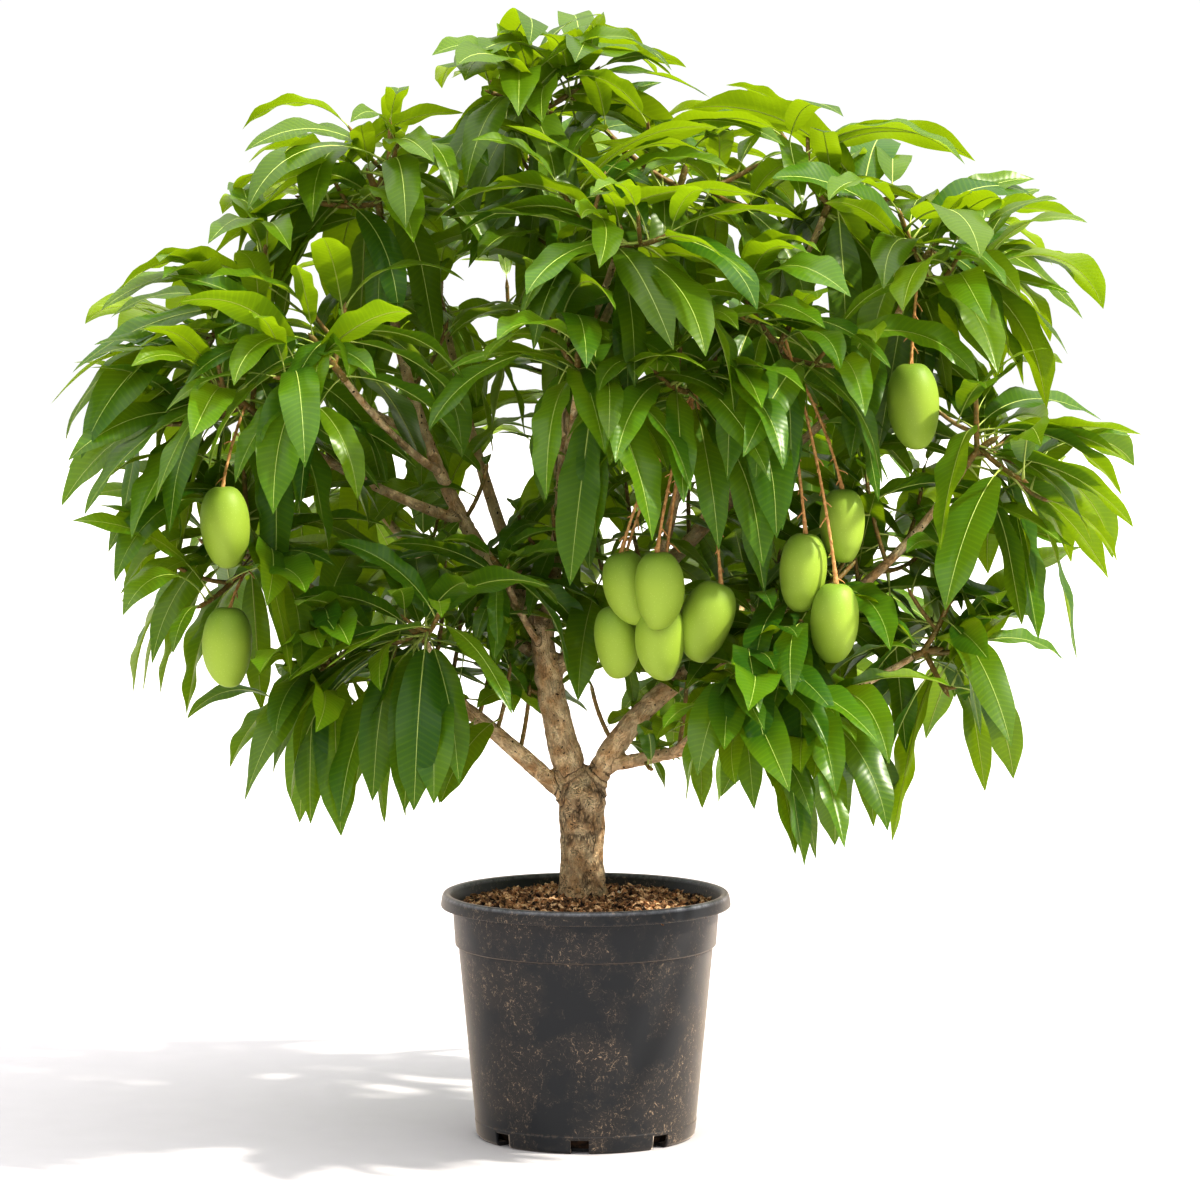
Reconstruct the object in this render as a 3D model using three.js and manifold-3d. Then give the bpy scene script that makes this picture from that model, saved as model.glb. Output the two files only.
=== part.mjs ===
// A young mango tree in fruit, standing in a moulded nursery pot.
//
// Millimetres, +Z up. The origin is the middle of the pot's flat underside, on the pot's axis. The tree's
// front looks along -Y and its right is +X. The pot holds a bed of bark mix, the short trunk stands on the
// mix and forks, and tapering boughs carry the masses of foliage. Each mass is one stem with side shoots;
// every shoot ends in a whorl of long leaves set by the golden angle, and fruit hangs from some stems.
import * as THREE from 'three';
import { mergeVertices } from 'three/addons/utils/BufferGeometryUtils.js';
import Module from 'manifold-3d';

const wasm = await Module();
wasm.setup();

const vector = (point) => new THREE.Vector3(...point);
const radians = THREE.MathUtils.degToRad;
const UP = vector([0, 0, 1]);

// ---------------------------------------------------------------- driving dimensions

const CLEARANCE = 0.35; // between pieces that touch

const POT = {
  height: 355,
  rimRadius: 210,
  rimDrop: 20, // how far the rim's skirt hangs down
  rimThickness: 13,
  collarTopRadius: 193,
  collarBottomRadius: 189,
  collarHeight: 58,
  bodyTopRadius: 185,
  baseRadius: 159,
  wall: 3.5,
  floor: 5,
  footBevel: 4,
  slots: 8,
  slotWidth: 26,
  slotHeight: 20,
  slotDepth: 22,
  slotTurn: radians(-93), // where the first drainage slot lies
};

const MIX = {
  crownHeight: 345, // under the trunk
  seatRadius: 62, // the flat patch that the trunk stands on
  edgeHeight: 331, // against the pot's wall
};

const TRUNK = {
  foot: [-5, 6, MIX.crownHeight + CLEARANCE],
  fork: [-5, 2, 492],
  radius: 30,
  flare: 11, // added at the foot, and gone a finger's length up
  flareHeight: 26,
  swelling: 6, // added at the fork
};

// A bough starts on its parent's centreline, at the share "at" of the parent's length, and ends at "tip".
// "bow" is how far its middle stands off the straight line between them, and "radii" are those of its foot
// and its tip.
const bough = (name, parent, at, tip, bow, radii) => ({ name, parent, at, tip, bow, radii });
const BOUGHS = [
  bough('stem_main', 'trunk', 0.9, [-65, 0, 745], [-8, 0, 0], [25, 17]),
  bough('right_main', 'trunk', 0.88, [300, -40, 735], [-36, 0, 42], [20, 9.5]),
  bough('left_low', 'trunk', 0.88, [-435, -95, 835], [0, 0, 12], [14, 5]),
  bough('left_top', 'stem_main', 0.97, [-292, -30, 1325], [-42, 0, -40], [13, 5]),
  bough('left_back', 'stem_main', 0.95, [-205, 190, 1165], [-10, 0, -10], [11, 5]),
  bough('leader', 'stem_main', 0.9, [-65, 10, 1425], [34, 0, 0], [12, 5]),
  bough('right_rise', 'stem_main', 0.72, [255, 30, 970], [-4, 12, -12], [14, 8.5]),
  bough('centre', 'stem_main', 0.86, [-112, -95, 812], [0, 0, -8], [5.5, 4.5]),
  bough('left_upper', 'left_top', 0.3, [-440, -115, 1035], [0, 0, -14], [8.5, 4.8]),
  bough('left_high', 'left_top', 0.5, [-462, -60, 1165], [0, 0, -12], [6, 4.5]),
  bough('left_mid', 'left_top', 0.42, [-335, -215, 1105], [0, 0, -12], [6, 4.5]),
  bough('left_hang', 'left_low', 0.66, [-350, -120, 705], [0, 0, 12], [6.5, 4.5]),
  bough('left_front', 'left_low', 0.42, [-225, -175, 735], [0, 0, -8], [6.5, 4.5]),
  bough('right_centre', 'leader', 0.42, [120, -30, 1345], [-26, 0, -14], [8, 4.8]),
  bough('front_centre', 'leader', 0.36, [-12, -215, 1090], [0, 0, -14], [7, 4.8]),
  bough('front_top', 'leader', 0.56, [42, -250, 1275], [0, 0, -18], [6.5, 4.8]),
  bough('front_right', 'right_rise', 0.5, [150, -205, 1075], [0, 0, -20], [7.5, 4.8]),
  bough('right_top', 'right_rise', 0.97, [340, -20, 1330], [-14, 0, 0], [7.5, 4.8]),
  bough('right_high', 'right_rise', 0.97, [462, -105, 1240], [20, 0, -24], [6.5, 4.8]),
  bough('right_mid', 'right_rise', 0.93, [262, -200, 1120], [0, 0, -14], [6.5, 4.8]),
  bough('right_outer', 'right_main', 0.97, [540, -75, 975], [10, 0, -24], [8.5, 5]),
  bough('right_fork', 'right_main', 0.8, [290, -125, 775], [0, 0, -10], [7, 4.8]),
  bough('right_low', 'right_main', 0.17, [292, -120, 612], [0, 0, -4], [11, 5]),
  bough('right_low_front', 'right_low', 0.36, [205, -185, 668], [0, 0, -8], [6, 4.5]),
  bough('right_low_outer', 'right_low', 0.55, [470, -40, 700], [0, 0, -12], [7, 4.5]),
  bough('back_left', 'stem_main', 0.8, [-350, 345, 930], [0, 0, -22], [10, 5]),
  bough('back_centre', 'leader', 0.24, [-45, 390, 1060], [0, 0, -22], [9, 5]),
  bough('back_top', 'leader', 0.6, [40, 250, 1310], [0, 0, -16], [6.5, 4.8]),
  bough('back_right', 'right_rise', 0.45, [285, 385, 1040], [0, 0, -22], [9, 5]),
  bough('back_low', 'right_main', 0.42, [240, 345, 745], [0, 0, -18], [8, 5]),
];

// Each mass grows from the tip of the bough that it is named for, away from the middle of the crown.
// "lead" is the length of its stem, "shoots" how many side shoots leave it, "spread" their length and
// "turn" the way that the first one points. "leafSize" is the share of a full leaf where leaves are small.
const MASSES = [
  { bough: 'left_top', lead: 70, shoots: 3, spread: 120, turn: 260 },
  { bough: 'left_back', lead: 90, shoots: 2, spread: 130, turn: 30 },
  { bough: 'leader', lead: 115, shoots: 3, spread: 110, turn: 350 },
  { bough: 'left_low', lead: 85, shoots: 3, spread: 125, turn: 185 },
  { bough: 'centre', lead: 50, shoots: 1, spread: 60, turn: 310, leafSize: 0.6 },
  { bough: 'left_upper', lead: 115, shoots: 3, spread: 120, turn: 110 },
  { bough: 'left_high', lead: 70, shoots: 2, spread: 120, turn: 250 },
  { bough: 'left_mid', lead: 90, shoots: 2, spread: 95, turn: 100 },
  { bough: 'left_hang', lead: 50, shoots: 2, spread: 90, turn: 50 },
  { bough: 'left_front', lead: 40, shoots: 2, spread: 100, turn: 20 },
  { bough: 'right_centre', lead: 60, shoots: 2, spread: 125, turn: 100 },
  { bough: 'front_centre', lead: 70, shoots: 2, spread: 110, turn: 300 },
  { bough: 'front_top', lead: 50, shoots: 2, spread: 110, turn: 135 },
  { bough: 'front_right', lead: 30, shoots: 2, spread: 110, turn: 15 },
  { bough: 'right_top', lead: 50, shoots: 2, spread: 120, turn: 120 },
  { bough: 'right_high', lead: 50, shoots: 3, spread: 120, turn: 255 },
  { bough: 'right_mid', lead: 80, shoots: 2, spread: 110, turn: 300 },
  { bough: 'right_outer', lead: 60, shoots: 3, spread: 105, turn: 0 },
  { bough: 'right_fork', lead: 30, shoots: 2, spread: 115, turn: 200 },
  { bough: 'right_low', lead: 60, shoots: 2, spread: 80, turn: 135 },
  { bough: 'right_low_front', lead: 50, shoots: 2, spread: 60, turn: 80 },
  { bough: 'right_low_outer', lead: 40, shoots: 3, spread: 140, turn: 120 },
  { bough: 'back_left', lead: 70, shoots: 3, spread: 160, turn: 220 },
  { bough: 'back_centre', lead: 90, shoots: 3, spread: 160, turn: 250 },
  { bough: 'back_top', lead: 80, shoots: 3, spread: 145, turn: 20 },
  { bough: 'back_right', lead: 70, shoots: 3, spread: 135, turn: 175 },
  { bough: 'back_low', lead: 70, shoots: 3, spread: 160, turn: 290 },
];

// Each fruit hangs from the stem of the mass on "bough". "at" is the middle of the fruit, "size" its share
// of a full one, and "lean" how far its beak swings sideways, in degrees.
const FRUITS = [
  { bough: 'left_upper', at: [-502, -225, 900], size: 1.03, lean: -4 },
  { bough: 'left_low', at: [-503, -195, 730], size: 1.0, lean: 3 },
  { bough: 'front_right', at: [60, -225, 814], size: 0.94, lean: -12 },
  { bough: 'front_right', at: [104, -265, 815], size: 0.96, lean: -5 },
  { bough: 'front_right', at: [168, -225, 769], size: 1.02, lean: 22 },
  { bough: 'front_right', at: [104, -232, 742], size: 0.98, lean: 2 },
  { bough: 'front_right', at: [45, -188, 736], size: 0.92, lean: -8 },
  { bough: 'right_mid', at: [304, -222, 837], size: 0.98, lean: 4 },
  { bough: 'right_mid', at: [360, -185, 900], size: 0.92, lean: 2 },
  { bough: 'right_mid', at: [347, -250, 768], size: 1.0, lean: 3 },
  { bough: 'right_high', at: [461, -150, 1066], size: 1.08, lean: -3 },
  { bough: 'back_centre', at: [-70, 455, 850], size: 1.0, lean: 4 },
  { bough: 'back_centre', at: [-5, 470, 815], size: 0.95, lean: -6 },
  { bough: 'back_right', at: [350, 430, 800], size: 1.02, lean: 3 },
];

const FRUIT = { length: 115, radius: 37, sides: 7, rings: 4 };
const STALK = {
  radius: 2.6,
  sunk: 10, // how deep it goes into the fruit
  from: [0.45, 0.95], // the stretch of stem that stalks leave, as shares of its length
};

const TWIG = {
  stemRadii: [7, 5.5], // at the foot and at the tip
  shootRadii: [3.2, 5], // a shoot's foot lies inside its stem
  sides: 3,
  fan: radians(62), // between a stem's heading and its side shoots
  upturn: 0.14, // share of a shoot's length by which it sags before its tip turns up
};

const LEAF = {
  length: 268, // with its stalk
  halfWidth: 38,
  thickness: 3.5,
  perWhorl: 8,
  whorlLength: 54, // the stretch of shoot below its tip that carries the whorl
  seeksLight: 0.4, // how far a whorl's axis leans from its shoot towards the sky
  highest: 62, // no blade starts steeper upward than this
  leanYoung: 34, // degrees between the shoot and a leaf at its tip
  leanOld: 100, // and a leaf at the foot of the whorl
  droopYoung: 62, // degrees that the blade bends down on the way to its tip
  droopOld: 80,
  steepest: 86, // no blade hangs steeper than this
  roll: 45, // the most that a blade turns about its midrib
  stations: [0.4, 0.74], // where the blade's outline has corners
  widths: [1, 0.8], // and its share of the full width there
  tries: 7,
  extraDroop: 6, // added at each further try
};

const SPACE = {
  crownMiddle: [0, 30, 660], // every stem heads away from here
  overlap: 60, // how much nearer to another mass than to its own a leaf's corner may be
  siteStep: 45, // spacing of the points that stand for a mass
  drops: [70, 140], // leaves hang, so a mass's space reaches this far under its whorls
};

const FACETS = {
  revolved: 28, // round the pot
  trunk: 10,
  stoutBough: 7,
  slenderBough: 5,
  stoutFrom: 12, // radius of foot from which a bough is stout
  boughStep: 125, // length of a facet along a bough
};

const COLOURS = {
  pot: 0x3c3b3b,
  mix: 0x402f23,
  bark: 0x85694a,
  foliage: [0x4e7a24, 0x3f6b26, 0x5e8a1f, 0x47702a],
};

// ---------------------------------------------------------------- solids

// A number from 0 to 1 that is always the same for the same whole numbers.
const CHANCE_WEIGHTS = [12.9898, 78.233, 37.719, 51.137];
function chance(...keys) {
  const mixed = Math.sin(keys.reduce((sum, key, i) => sum + key * CHANCE_WEIGHTS[i], 0)) * 43758.5453;
  return mixed - Math.floor(mixed);
}
const between = (low, high, share) => low + (high - low) * share;

// A closed geometry with its seams merged, as a solid.
function solidOf(geometry) {
  const bare = geometry.clone();
  bare.deleteAttribute('normal');
  bare.deleteAttribute('uv');
  const { attributes, index } = mergeVertices(bare, 1e-3);
  const triVerts = new Uint32Array(index.array);
  const mesh = new wasm.Mesh({ numProp: 3, vertProperties: attributes.position.array, triVerts });
  return new wasm.Manifold(mesh);
}

// The geometry of a solid.
function geometryOf(solid) {
  const { vertProperties, triVerts } = solid.getMesh();
  return new THREE.BufferGeometry()
    .setAttribute('position', new THREE.BufferAttribute(vertProperties, 3))
    .setIndex(new THREE.BufferAttribute(triVerts, 1));
}

// The largest body of a solid. Loose scraps and sealed hollows are left out.
const largest = (solid) => solid.decompose().reduce((a, b) => (b.volume() > a.volume() ? b : a));

// A solid skinned over rings of equally many points, which run anticlockwise as seen from the last ring.
function skinned(rings) {
  const sides = rings[0].length;
  const last = sides * (rings.length - 1);
  const faces = [];
  for (let start = 0; start < last; start += sides) {
    for (let k = 0; k < sides; k++) {
      const [a, b] = [start + k, start + ((k + 1) % sides)];
      faces.push(a, b, b + sides, a, b + sides, a + sides);
    }
  }
  for (let k = 1; k < sides - 1; k++) faces.push(0, k + 1, k, last, last + k, last + k + 1);
  return solidOf(new THREE.BufferGeometry().setFromPoints(rings.flat()).setIndex(faces));
}

// A tapering limb along a curve, grown by "extra" all round and at both ends.
function limbSolid(curve, radiusAt, sides, steps, extra = 0) {
  const { tangents, normals, binormals } = curve.computeFrenetFrames(steps);
  const rings = tangents.map((tangent, i) => {
    const beyond = i === 0 ? -extra : i === steps ? extra : 0;
    const centre = curve.getPointAt(i / steps).addScaledVector(tangent, beyond);
    const reach = radiusAt(i / steps) + extra;
    return Array.from({ length: sides }, (_, k) => {
      const turn = (2 * Math.PI * k) / sides;
      return centre
        .clone()
        .addScaledVector(normals[i], reach * Math.cos(turn))
        .addScaledVector(binormals[i], reach * Math.sin(turn));
    });
  });
  return skinned(rings);
}

// A curve from one point to another whose middle stands off the straight line by "bow".
function bowed(from, to, bow) {
  const control = from.clone().add(to).multiplyScalar(0.5).addScaledVector(bow, 2);
  return new THREE.QuadraticBezierCurve3(from, control, to);
}

function revolved(profile) {
  const outline = profile.map(([radius, height]) => new THREE.Vector2(radius, height));
  return solidOf(new THREE.LatheGeometry(outline, FACETS.revolved).rotateX(Math.PI / 2));
}

// ---------------------------------------------------------------- pot and mix

const rimFoot = POT.height - POT.rimDrop;
const collarFoot = rimFoot - POT.collarHeight;

// The radius of the pot's outer wall at a height below the collar.
const wallRadius = (height) => between(POT.baseRadius, POT.bodyTopRadius, height / collarFoot);

function potSolid() {
  const { wall, floor, height, rimRadius, rimThickness } = POT;
  const shell = revolved([
    [0, 0],
    [POT.baseRadius - POT.footBevel, 0],
    [POT.baseRadius, POT.footBevel],
    [POT.bodyTopRadius, collarFoot],
    [POT.collarBottomRadius, collarFoot + 2],
    [POT.collarTopRadius, rimFoot + 2],
    [rimRadius, rimFoot],
    [rimRadius - 3, height - 3],
    [rimRadius - 6, height],
    [rimRadius - rimThickness, height],
    [POT.collarBottomRadius - wall, collarFoot + 4],
    [POT.bodyTopRadius - wall, collarFoot - 2],
    [wallRadius(floor) - wall, floor],
    [0, floor],
  ]);
  const slots = Array.from({ length: POT.slots }, (_, k) => {
    const box = new THREE.BoxGeometry(2 * POT.slotDepth, POT.slotWidth, 2 * POT.slotHeight);
    box.translate(POT.baseRadius, 0, 0).rotateZ(POT.slotTurn + (k * 2 * Math.PI) / POT.slots);
    return solidOf(box);
  });
  return shell.subtract(wasm.Manifold.union(slots));
}

function mixSolid() {
  const inside = (height) => wallRadius(height) - POT.wall - CLEARANCE;
  const collarInside = POT.collarBottomRadius - POT.wall - CLEARANCE;
  return revolved([
    [0, POT.floor + CLEARANCE],
    [inside(POT.floor), POT.floor + CLEARANCE],
    [inside(collarFoot - 2) - 0.5, collarFoot - 2],
    [collarInside - 0.5, collarFoot + 5],
    [collarInside + 2, MIX.edgeHeight],
    [MIX.seatRadius + 50, between(MIX.edgeHeight, MIX.crownHeight, 0.6)],
    [MIX.seatRadius, MIX.crownHeight],
    [0, MIX.crownHeight],
  ]);
}

// ---------------------------------------------------------------- trunk and boughs

const limbs = new Map(); // by name: the limb's curve, its solid, and a solid grown by the clearance

// The trunk leans, and its foot is a flat, level cut.
function addTrunk() {
  const [foot, fork] = [vector(TRUNK.foot), vector(TRUNK.fork)];
  const lean = fork.clone().sub(foot).normalize();
  const curve = new THREE.LineCurve3(foot.clone().addScaledVector(lean, -TRUNK.flareHeight / 4), fork);
  const length = curve.getLength();
  const flareAt = (share) => TRUNK.flare * Math.exp((-share * length) / TRUNK.flareHeight);
  const radiusAt = (share) => TRUNK.radius + flareAt(share) + TRUNK.swelling * share ** 3;
  const make = (extra) => {
    const limb = limbSolid(curve, radiusAt, FACETS.trunk, 5, extra);
    return limb.trimByPlane([0, 0, 1], foot.z - extra);
  };
  limbs.set('trunk', { curve, solid: make(0), grown: make(CLEARANCE) });
}

// A bough is cut clear of every limb that was there before it, so that its foot sits on its parent's bark.
function addBough({ name, parent, at, tip, bow, radii }) {
  const curve = bowed(limbs.get(parent).curve.getPointAt(at), vector(tip), vector(bow));
  const steps = Math.max(3, Math.round(curve.getLength() / FACETS.boughStep));
  const sides = radii[0] < FACETS.stoutFrom ? FACETS.slenderBough : FACETS.stoutBough;
  const make = (extra) => limbSolid(curve, (share) => between(...radii, share), sides, steps, extra);
  const others = wasm.Manifold.union([...limbs.values()].map((limb) => limb.grown));
  const solid = largest(make(0).subtract(others));
  limbs.set(name, { curve, solid, grown: make(CLEARANCE) });
}

addTrunk();
BOUGHS.forEach(addBough);

// ---------------------------------------------------------------- stems and shoots

// Two directions square to an axis and to each other.
function squareTo(axis) {
  const side = Math.abs(axis.z) > 0.95 ? vector([1, 0, 0]) : UP;
  const first = side.clone().cross(axis).normalize();
  return [first, axis.clone().cross(first)];
}

// A direction that leans from an axis by one angle and is turned round it by another.
function leaning(axis, lean, turn) {
  const [first, second] = squareTo(axis);
  return axis
    .clone()
    .multiplyScalar(Math.cos(lean))
    .addScaledVector(first, Math.sin(lean) * Math.cos(turn))
    .addScaledVector(second, Math.sin(lean) * Math.sin(turn));
}

const GOLDEN_ANGLE = Math.PI * (3 - Math.sqrt(5));

// A path of two straight halves.
function elbow(from, corner, to) {
  const path = new THREE.CurvePath();
  path.add(new THREE.LineCurve3(from, corner));
  path.add(new THREE.LineCurve3(corner, to));
  return path;
}

// The paths of a mass's stem and side shoots. The stem leaves the bough's tip square to its cut, and the side
// shoots turn up halfway.
function shootsOf(mass, number) {
  const { curve } = limbs.get(mass.bough);
  const tangent = curve.getTangentAt(1);
  const foot = curve.getPointAt(1).addScaledVector(tangent, CLEARANCE);
  const heading = foot.clone().sub(vector(SPACE.crownMiddle)).normalize();
  const bend = foot.clone().addScaledVector(tangent, mass.lead / 2);
  const stem = elbow(foot, bend, bend.clone().addScaledVector(heading, mass.lead / 2));
  const sides = Array.from({ length: mass.shoots }, (_, k) => {
    const from = stem.getPointAt(between(0.35, 0.7, k / mass.shoots));
    const length = mass.spread * between(0.88, 1.12, chance(number, k, 1));
    const direction = leaning(heading, TWIG.fan, radians(mass.turn + (360 * k) / mass.shoots));
    const to = from.clone().addScaledVector(direction, length);
    const corner = from.clone().lerp(to, 0.5).addScaledVector(UP, -TWIG.upturn * length);
    return elbow(from, corner, to);
  });
  return [stem, ...sides];
}

function twigSolid(curve, number) {
  const radii = number === 0 ? TWIG.stemRadii : TWIG.shootRadii;
  return limbSolid(curve, (share) => between(...radii, share), TWIG.sides, 2);
}

// ---------------------------------------------------------------- fruit

// A mango hangs by its stalk: broad at the shoulder, with a beak that swings to one side.
function fruitSolid({ at, size, lean }) {
  const shape = new THREE.SphereGeometry(1, FRUIT.sides, FRUIT.rings);
  shape.rotateX(Math.PI / 2);
  const place = shape.attributes.position;
  for (let i = 0; i < place.count; i++) {
    const height = place.getZ(i);
    const girth = FRUIT.radius * (1 + 0.1 * height);
    place.setXYZ(i, place.getX(i) * girth, place.getY(i) * girth, (height * FRUIT.length) / 2);
  }
  shape.scale(size, size, size).rotateY(radians(lean)).translate(...at);
  return solidOf(shape);
}

function fruitTop({ at, size, lean }) {
  const half = (FRUIT.length / 2) * size;
  return vector(at).addScaledVector(vector([Math.sin(radians(lean)), 0, Math.cos(radians(lean))]), half);
}

// The stalk leaves the stem at a share of its length and hangs to the fruit.
function stalkCurve(fruit, stem, share) {
  const from = stem.getPointAt(share);
  const to = fruitTop(fruit);
  const sunk = to.clone().addScaledVector(UP, -STALK.sunk);
  const side = to.clone().sub(from);
  side.z = 0;
  return bowed(from, sunk, side.multiplyScalar(0.12));
}

const stalkSolid = (curve) => limbSolid(curve, () => STALK.radius, TWIG.sides, 2);

// ---------------------------------------------------------------- the space of each mass

const masses = MASSES.map((mass, number) => {
  const [stem, ...sides] = shootsOf(mass, number);
  const fruits = FRUITS.filter((fruit) => fruit.bough === mass.bough);
  const stalks = fruits.map((fruit, i) => stalkCurve(fruit, stem, between(...STALK.from, i / fruits.length)));
  return { ...mass, number, stem, shoots: [stem, ...sides], fruits, stalks };
});

// Points that stand for a mass: along its twigs and stalks, under its whorls and in its fruit.
function sitesOf({ shoots, stalks, fruits }) {
  const along = [...shoots, ...stalks].flatMap((curve) =>
    curve.getSpacedPoints(Math.ceil(curve.getLength() / SPACE.siteStep)),
  );
  const below = shoots.flatMap((curve) =>
    SPACE.drops.map((drop) => curve.getPointAt(1).addScaledVector(UP, -drop)),
  );
  return [...along, ...below, ...fruits.map((fruit) => vector(fruit.at))];
}
const sites = masses.map(sitesOf);

// True where a point is in the space of its own mass, which reaches a little past halfway to the next mass.
function inOwnSpace(point, number) {
  const nearest = (points) => Math.min(...points.map((site) => site.distanceTo(point)));
  const own = nearest(sites[number]);
  return sites.every((points, other) => other === number || nearest(points) > own - SPACE.overlap);
}

// ---------------------------------------------------------------- leaves

// The spine of a blade that leaves "root" along "direction" and bends down under its weight.
function leafSpine(root, direction, length, droop) {
  const azimuth = Math.atan2(direction.y, direction.x);
  const rise = Math.min(Math.asin(THREE.MathUtils.clamp(direction.z, -1, 1)), radians(LEAF.highest));
  const SLICES = 25;
  const spine = [root.clone()];
  for (let i = 0; i < SLICES; i++) {
    const elevation = Math.max(rise - droop * ((i + 0.5) / SLICES), -radians(LEAF.steepest));
    const step = new THREE.Vector3(
      Math.cos(elevation) * Math.cos(azimuth),
      Math.cos(elevation) * Math.sin(azimuth),
      Math.sin(elevation),
    );
    spine.push(spine.at(-1).clone().addScaledVector(step, length / SLICES));
  }
  return { azimuth, pointAt: (share) => spine[Math.round(share * SLICES)] };
}

// The corners of a blade: its root, two on each side, a keel point under its middle, and its tip.
function leafCorners({ azimuth, pointAt }, halfWidth, roll) {
  const across = new THREE.Vector3(-Math.sin(azimuth), Math.cos(azimuth), 0);
  const frameAt = (share) => {
    const along = pointAt(share + 0.04).clone().sub(pointAt(share - 0.04)).normalize();
    const side = across.clone().applyAxisAngle(along, roll);
    return { centre: pointAt(share), side, normal: along.cross(side) };
  };
  const edges = LEAF.stations.flatMap((share, i) => {
    const { centre, side } = frameAt(share);
    return [1, -1].map((hand) => centre.clone().addScaledVector(side, hand * LEAF.widths[i] * halfWidth));
  });
  const middle = frameAt((LEAF.stations[0] + LEAF.stations[1]) / 2);
  const keel = edges.reduce((sum, edge) => sum.add(edge), new THREE.Vector3()).divideScalar(edges.length);
  return [pointAt(0), ...edges, keel.addScaledVector(middle.normal, -LEAF.thickness), pointAt(1)];
}

// Corners: 0 the root, 1 and 2 the left and right of the first station, 3 and 4 those of the second,
// 5 the keel and 6 the tip.
const LEAF_FACES = [
  [0, 2, 1], [1, 2, 4], [1, 4, 3], [3, 4, 6],
  [0, 1, 5], [1, 3, 5], [3, 6, 5], [6, 4, 5], [4, 2, 5], [2, 0, 5],
];
const bladeSolid = (corners) =>
  solidOf(new THREE.BufferGeometry().setFromPoints(corners).setIndex(LEAF_FACES.flat()));

// One leaf of a whorl, or nothing where it would touch another piece or leave its mass's space.
function leafSolid(mass, shoot, shootNumber, k) {
  const age = 1 - k / (LEAF.perWhorl - 1); // 1 at the foot of the whorl, 0 at the shoot's tip
  const share = 1 - (LEAF.whorlLength / shoot.getLength()) * between(0.06, 1, age);
  const root = shoot.getPointAt(Math.max(share, 0));
  const axis = shoot.getTangentAt(Math.max(share, 0)).lerp(UP, LEAF.seeksLight).normalize();
  const vigour = (mass.leafSize ?? 1) * between(0.88, 1.06, chance(mass.number, shootNumber, k, 2));
  const size = vigour * between(0.82, 1, Math.min(1, 2 * age));
  const foreignTwigs = twigPieces.filter(({ owner }) => owner !== mass.number);
  for (let attempt = 0; attempt < LEAF.tries; attempt++) {
    const luck = (salt) => chance(mass.number, shootNumber, k, salt + 10 * attempt);
    const lean = between(LEAF.leanYoung, LEAF.leanOld, age) + between(-9, 9, luck(3));
    const turn = k * GOLDEN_ANGLE + shootNumber * 1.3 + mass.number + (luck(4) - 0.5) * (0.4 + 0.4 * attempt);
    const sag = between(-12, 12, luck(5)) + attempt * LEAF.extraDroop;
    const droop = between(LEAF.droopYoung, LEAF.droopOld, age) + sag;
    const spine = leafSpine(root, leaning(axis, radians(lean), turn), LEAF.length * size, radians(droop));
    const corners = leafCorners(spine, LEAF.halfWidth * size, radians(LEAF.roll) * (2 * luck(6) - 1));
    if (!corners.slice(1).every((point) => inOwnSpace(point, mass.number))) continue;
    const blade = boxed(bladeSolid(corners), mass.number);
    const others = [limbPieces, fruitPieces, leafPieces, foreignTwigs];
    if (!others.some((pieces) => touches(blade, pieces))) return blade;
  }
  return null;
}

// ---------------------------------------------------------------- what must not touch

// A solid with its bounding box, which is compared first, and the number of the mass that owns it.
const boxed = (solid, owner) => ({ solid, box: solid.boundingBox(), owner });
const boxesMeet = (a, b) => a.min.every((low, i) => low <= b.max[i] && a.max[i] >= b.min[i]);
const touches = (piece, others) =>
  others.some(({ solid, box }) => boxesMeet(piece.box, box) && !piece.solid.intersect(solid).isEmpty());

const pot = potSolid();
const mix = mixSolid();
const limbPieces = [pot, mix, ...[...limbs.values()].map((limb) => limb.grown)].map((solid) => boxed(solid));
const fruitPieces = masses.flatMap(({ number, fruits, stalks }) =>
  [...fruits.map(fruitSolid), ...stalks.map(stalkSolid)].map((solid) => boxed(solid, number)),
);
const twigPieces = [];
const leafPieces = [];

// Twigs are added mass by mass. A side shoot that meets a limb, or another mass's fruit or twig, is skipped.
function addTwigs(mass) {
  const foreign = ({ owner }) => owner !== mass.number;
  const others = [...limbPieces, ...fruitPieces.filter(foreign), ...twigPieces];
  mass.shoots = mass.shoots.filter((shoot, number) => {
    const twig = boxed(twigSolid(shoot, number), mass.number);
    const kept = number === 0 || !touches(twig, others);
    if (kept) twigPieces.push(twig);
    return kept;
  });
}

// Leaves are added one to each whorl in turn, so that every whorl gets its share of the room.
function addLeaves() {
  for (let k = 0; k < LEAF.perWhorl; k++) {
    for (const mass of masses) {
      mass.shoots.forEach((shoot, number) => {
        const leaf = leafSolid(mass, shoot, number, k);
        if (leaf) leafPieces.push(leaf);
      });
    }
  }
}

masses.forEach(addTwigs);
addLeaves();

function massSolid({ number }) {
  const own = [...twigPieces, ...fruitPieces, ...leafPieces].filter(({ owner }) => owner === number);
  return largest(wasm.Manifold.union(own.map(({ solid }) => solid)));
}

// ---------------------------------------------------------------- assembly

const tree = new THREE.Group();

function addMesh(name, solid, color, roughness) {
  const material = new THREE.MeshStandardMaterial({ color, roughness, metalness: 0 });
  const mesh = new THREE.Mesh(geometryOf(solid), material);
  mesh.name = name;
  tree.add(mesh);
}

addMesh('pot', pot, COLOURS.pot, 0.6);
addMesh('bark_mix', mix, COLOURS.mix, 0.95);
for (const [name, { solid }] of limbs) {
  addMesh(name === 'trunk' ? name : `bough_${name}`, solid, COLOURS.bark, 0.85);
}
for (const mass of masses) {
  const greens = COLOURS.foliage;
  addMesh(`foliage_${mass.bough}`, massSolid(mass), greens[mass.number % greens.length], 0.45);
}

export default tree;
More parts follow.
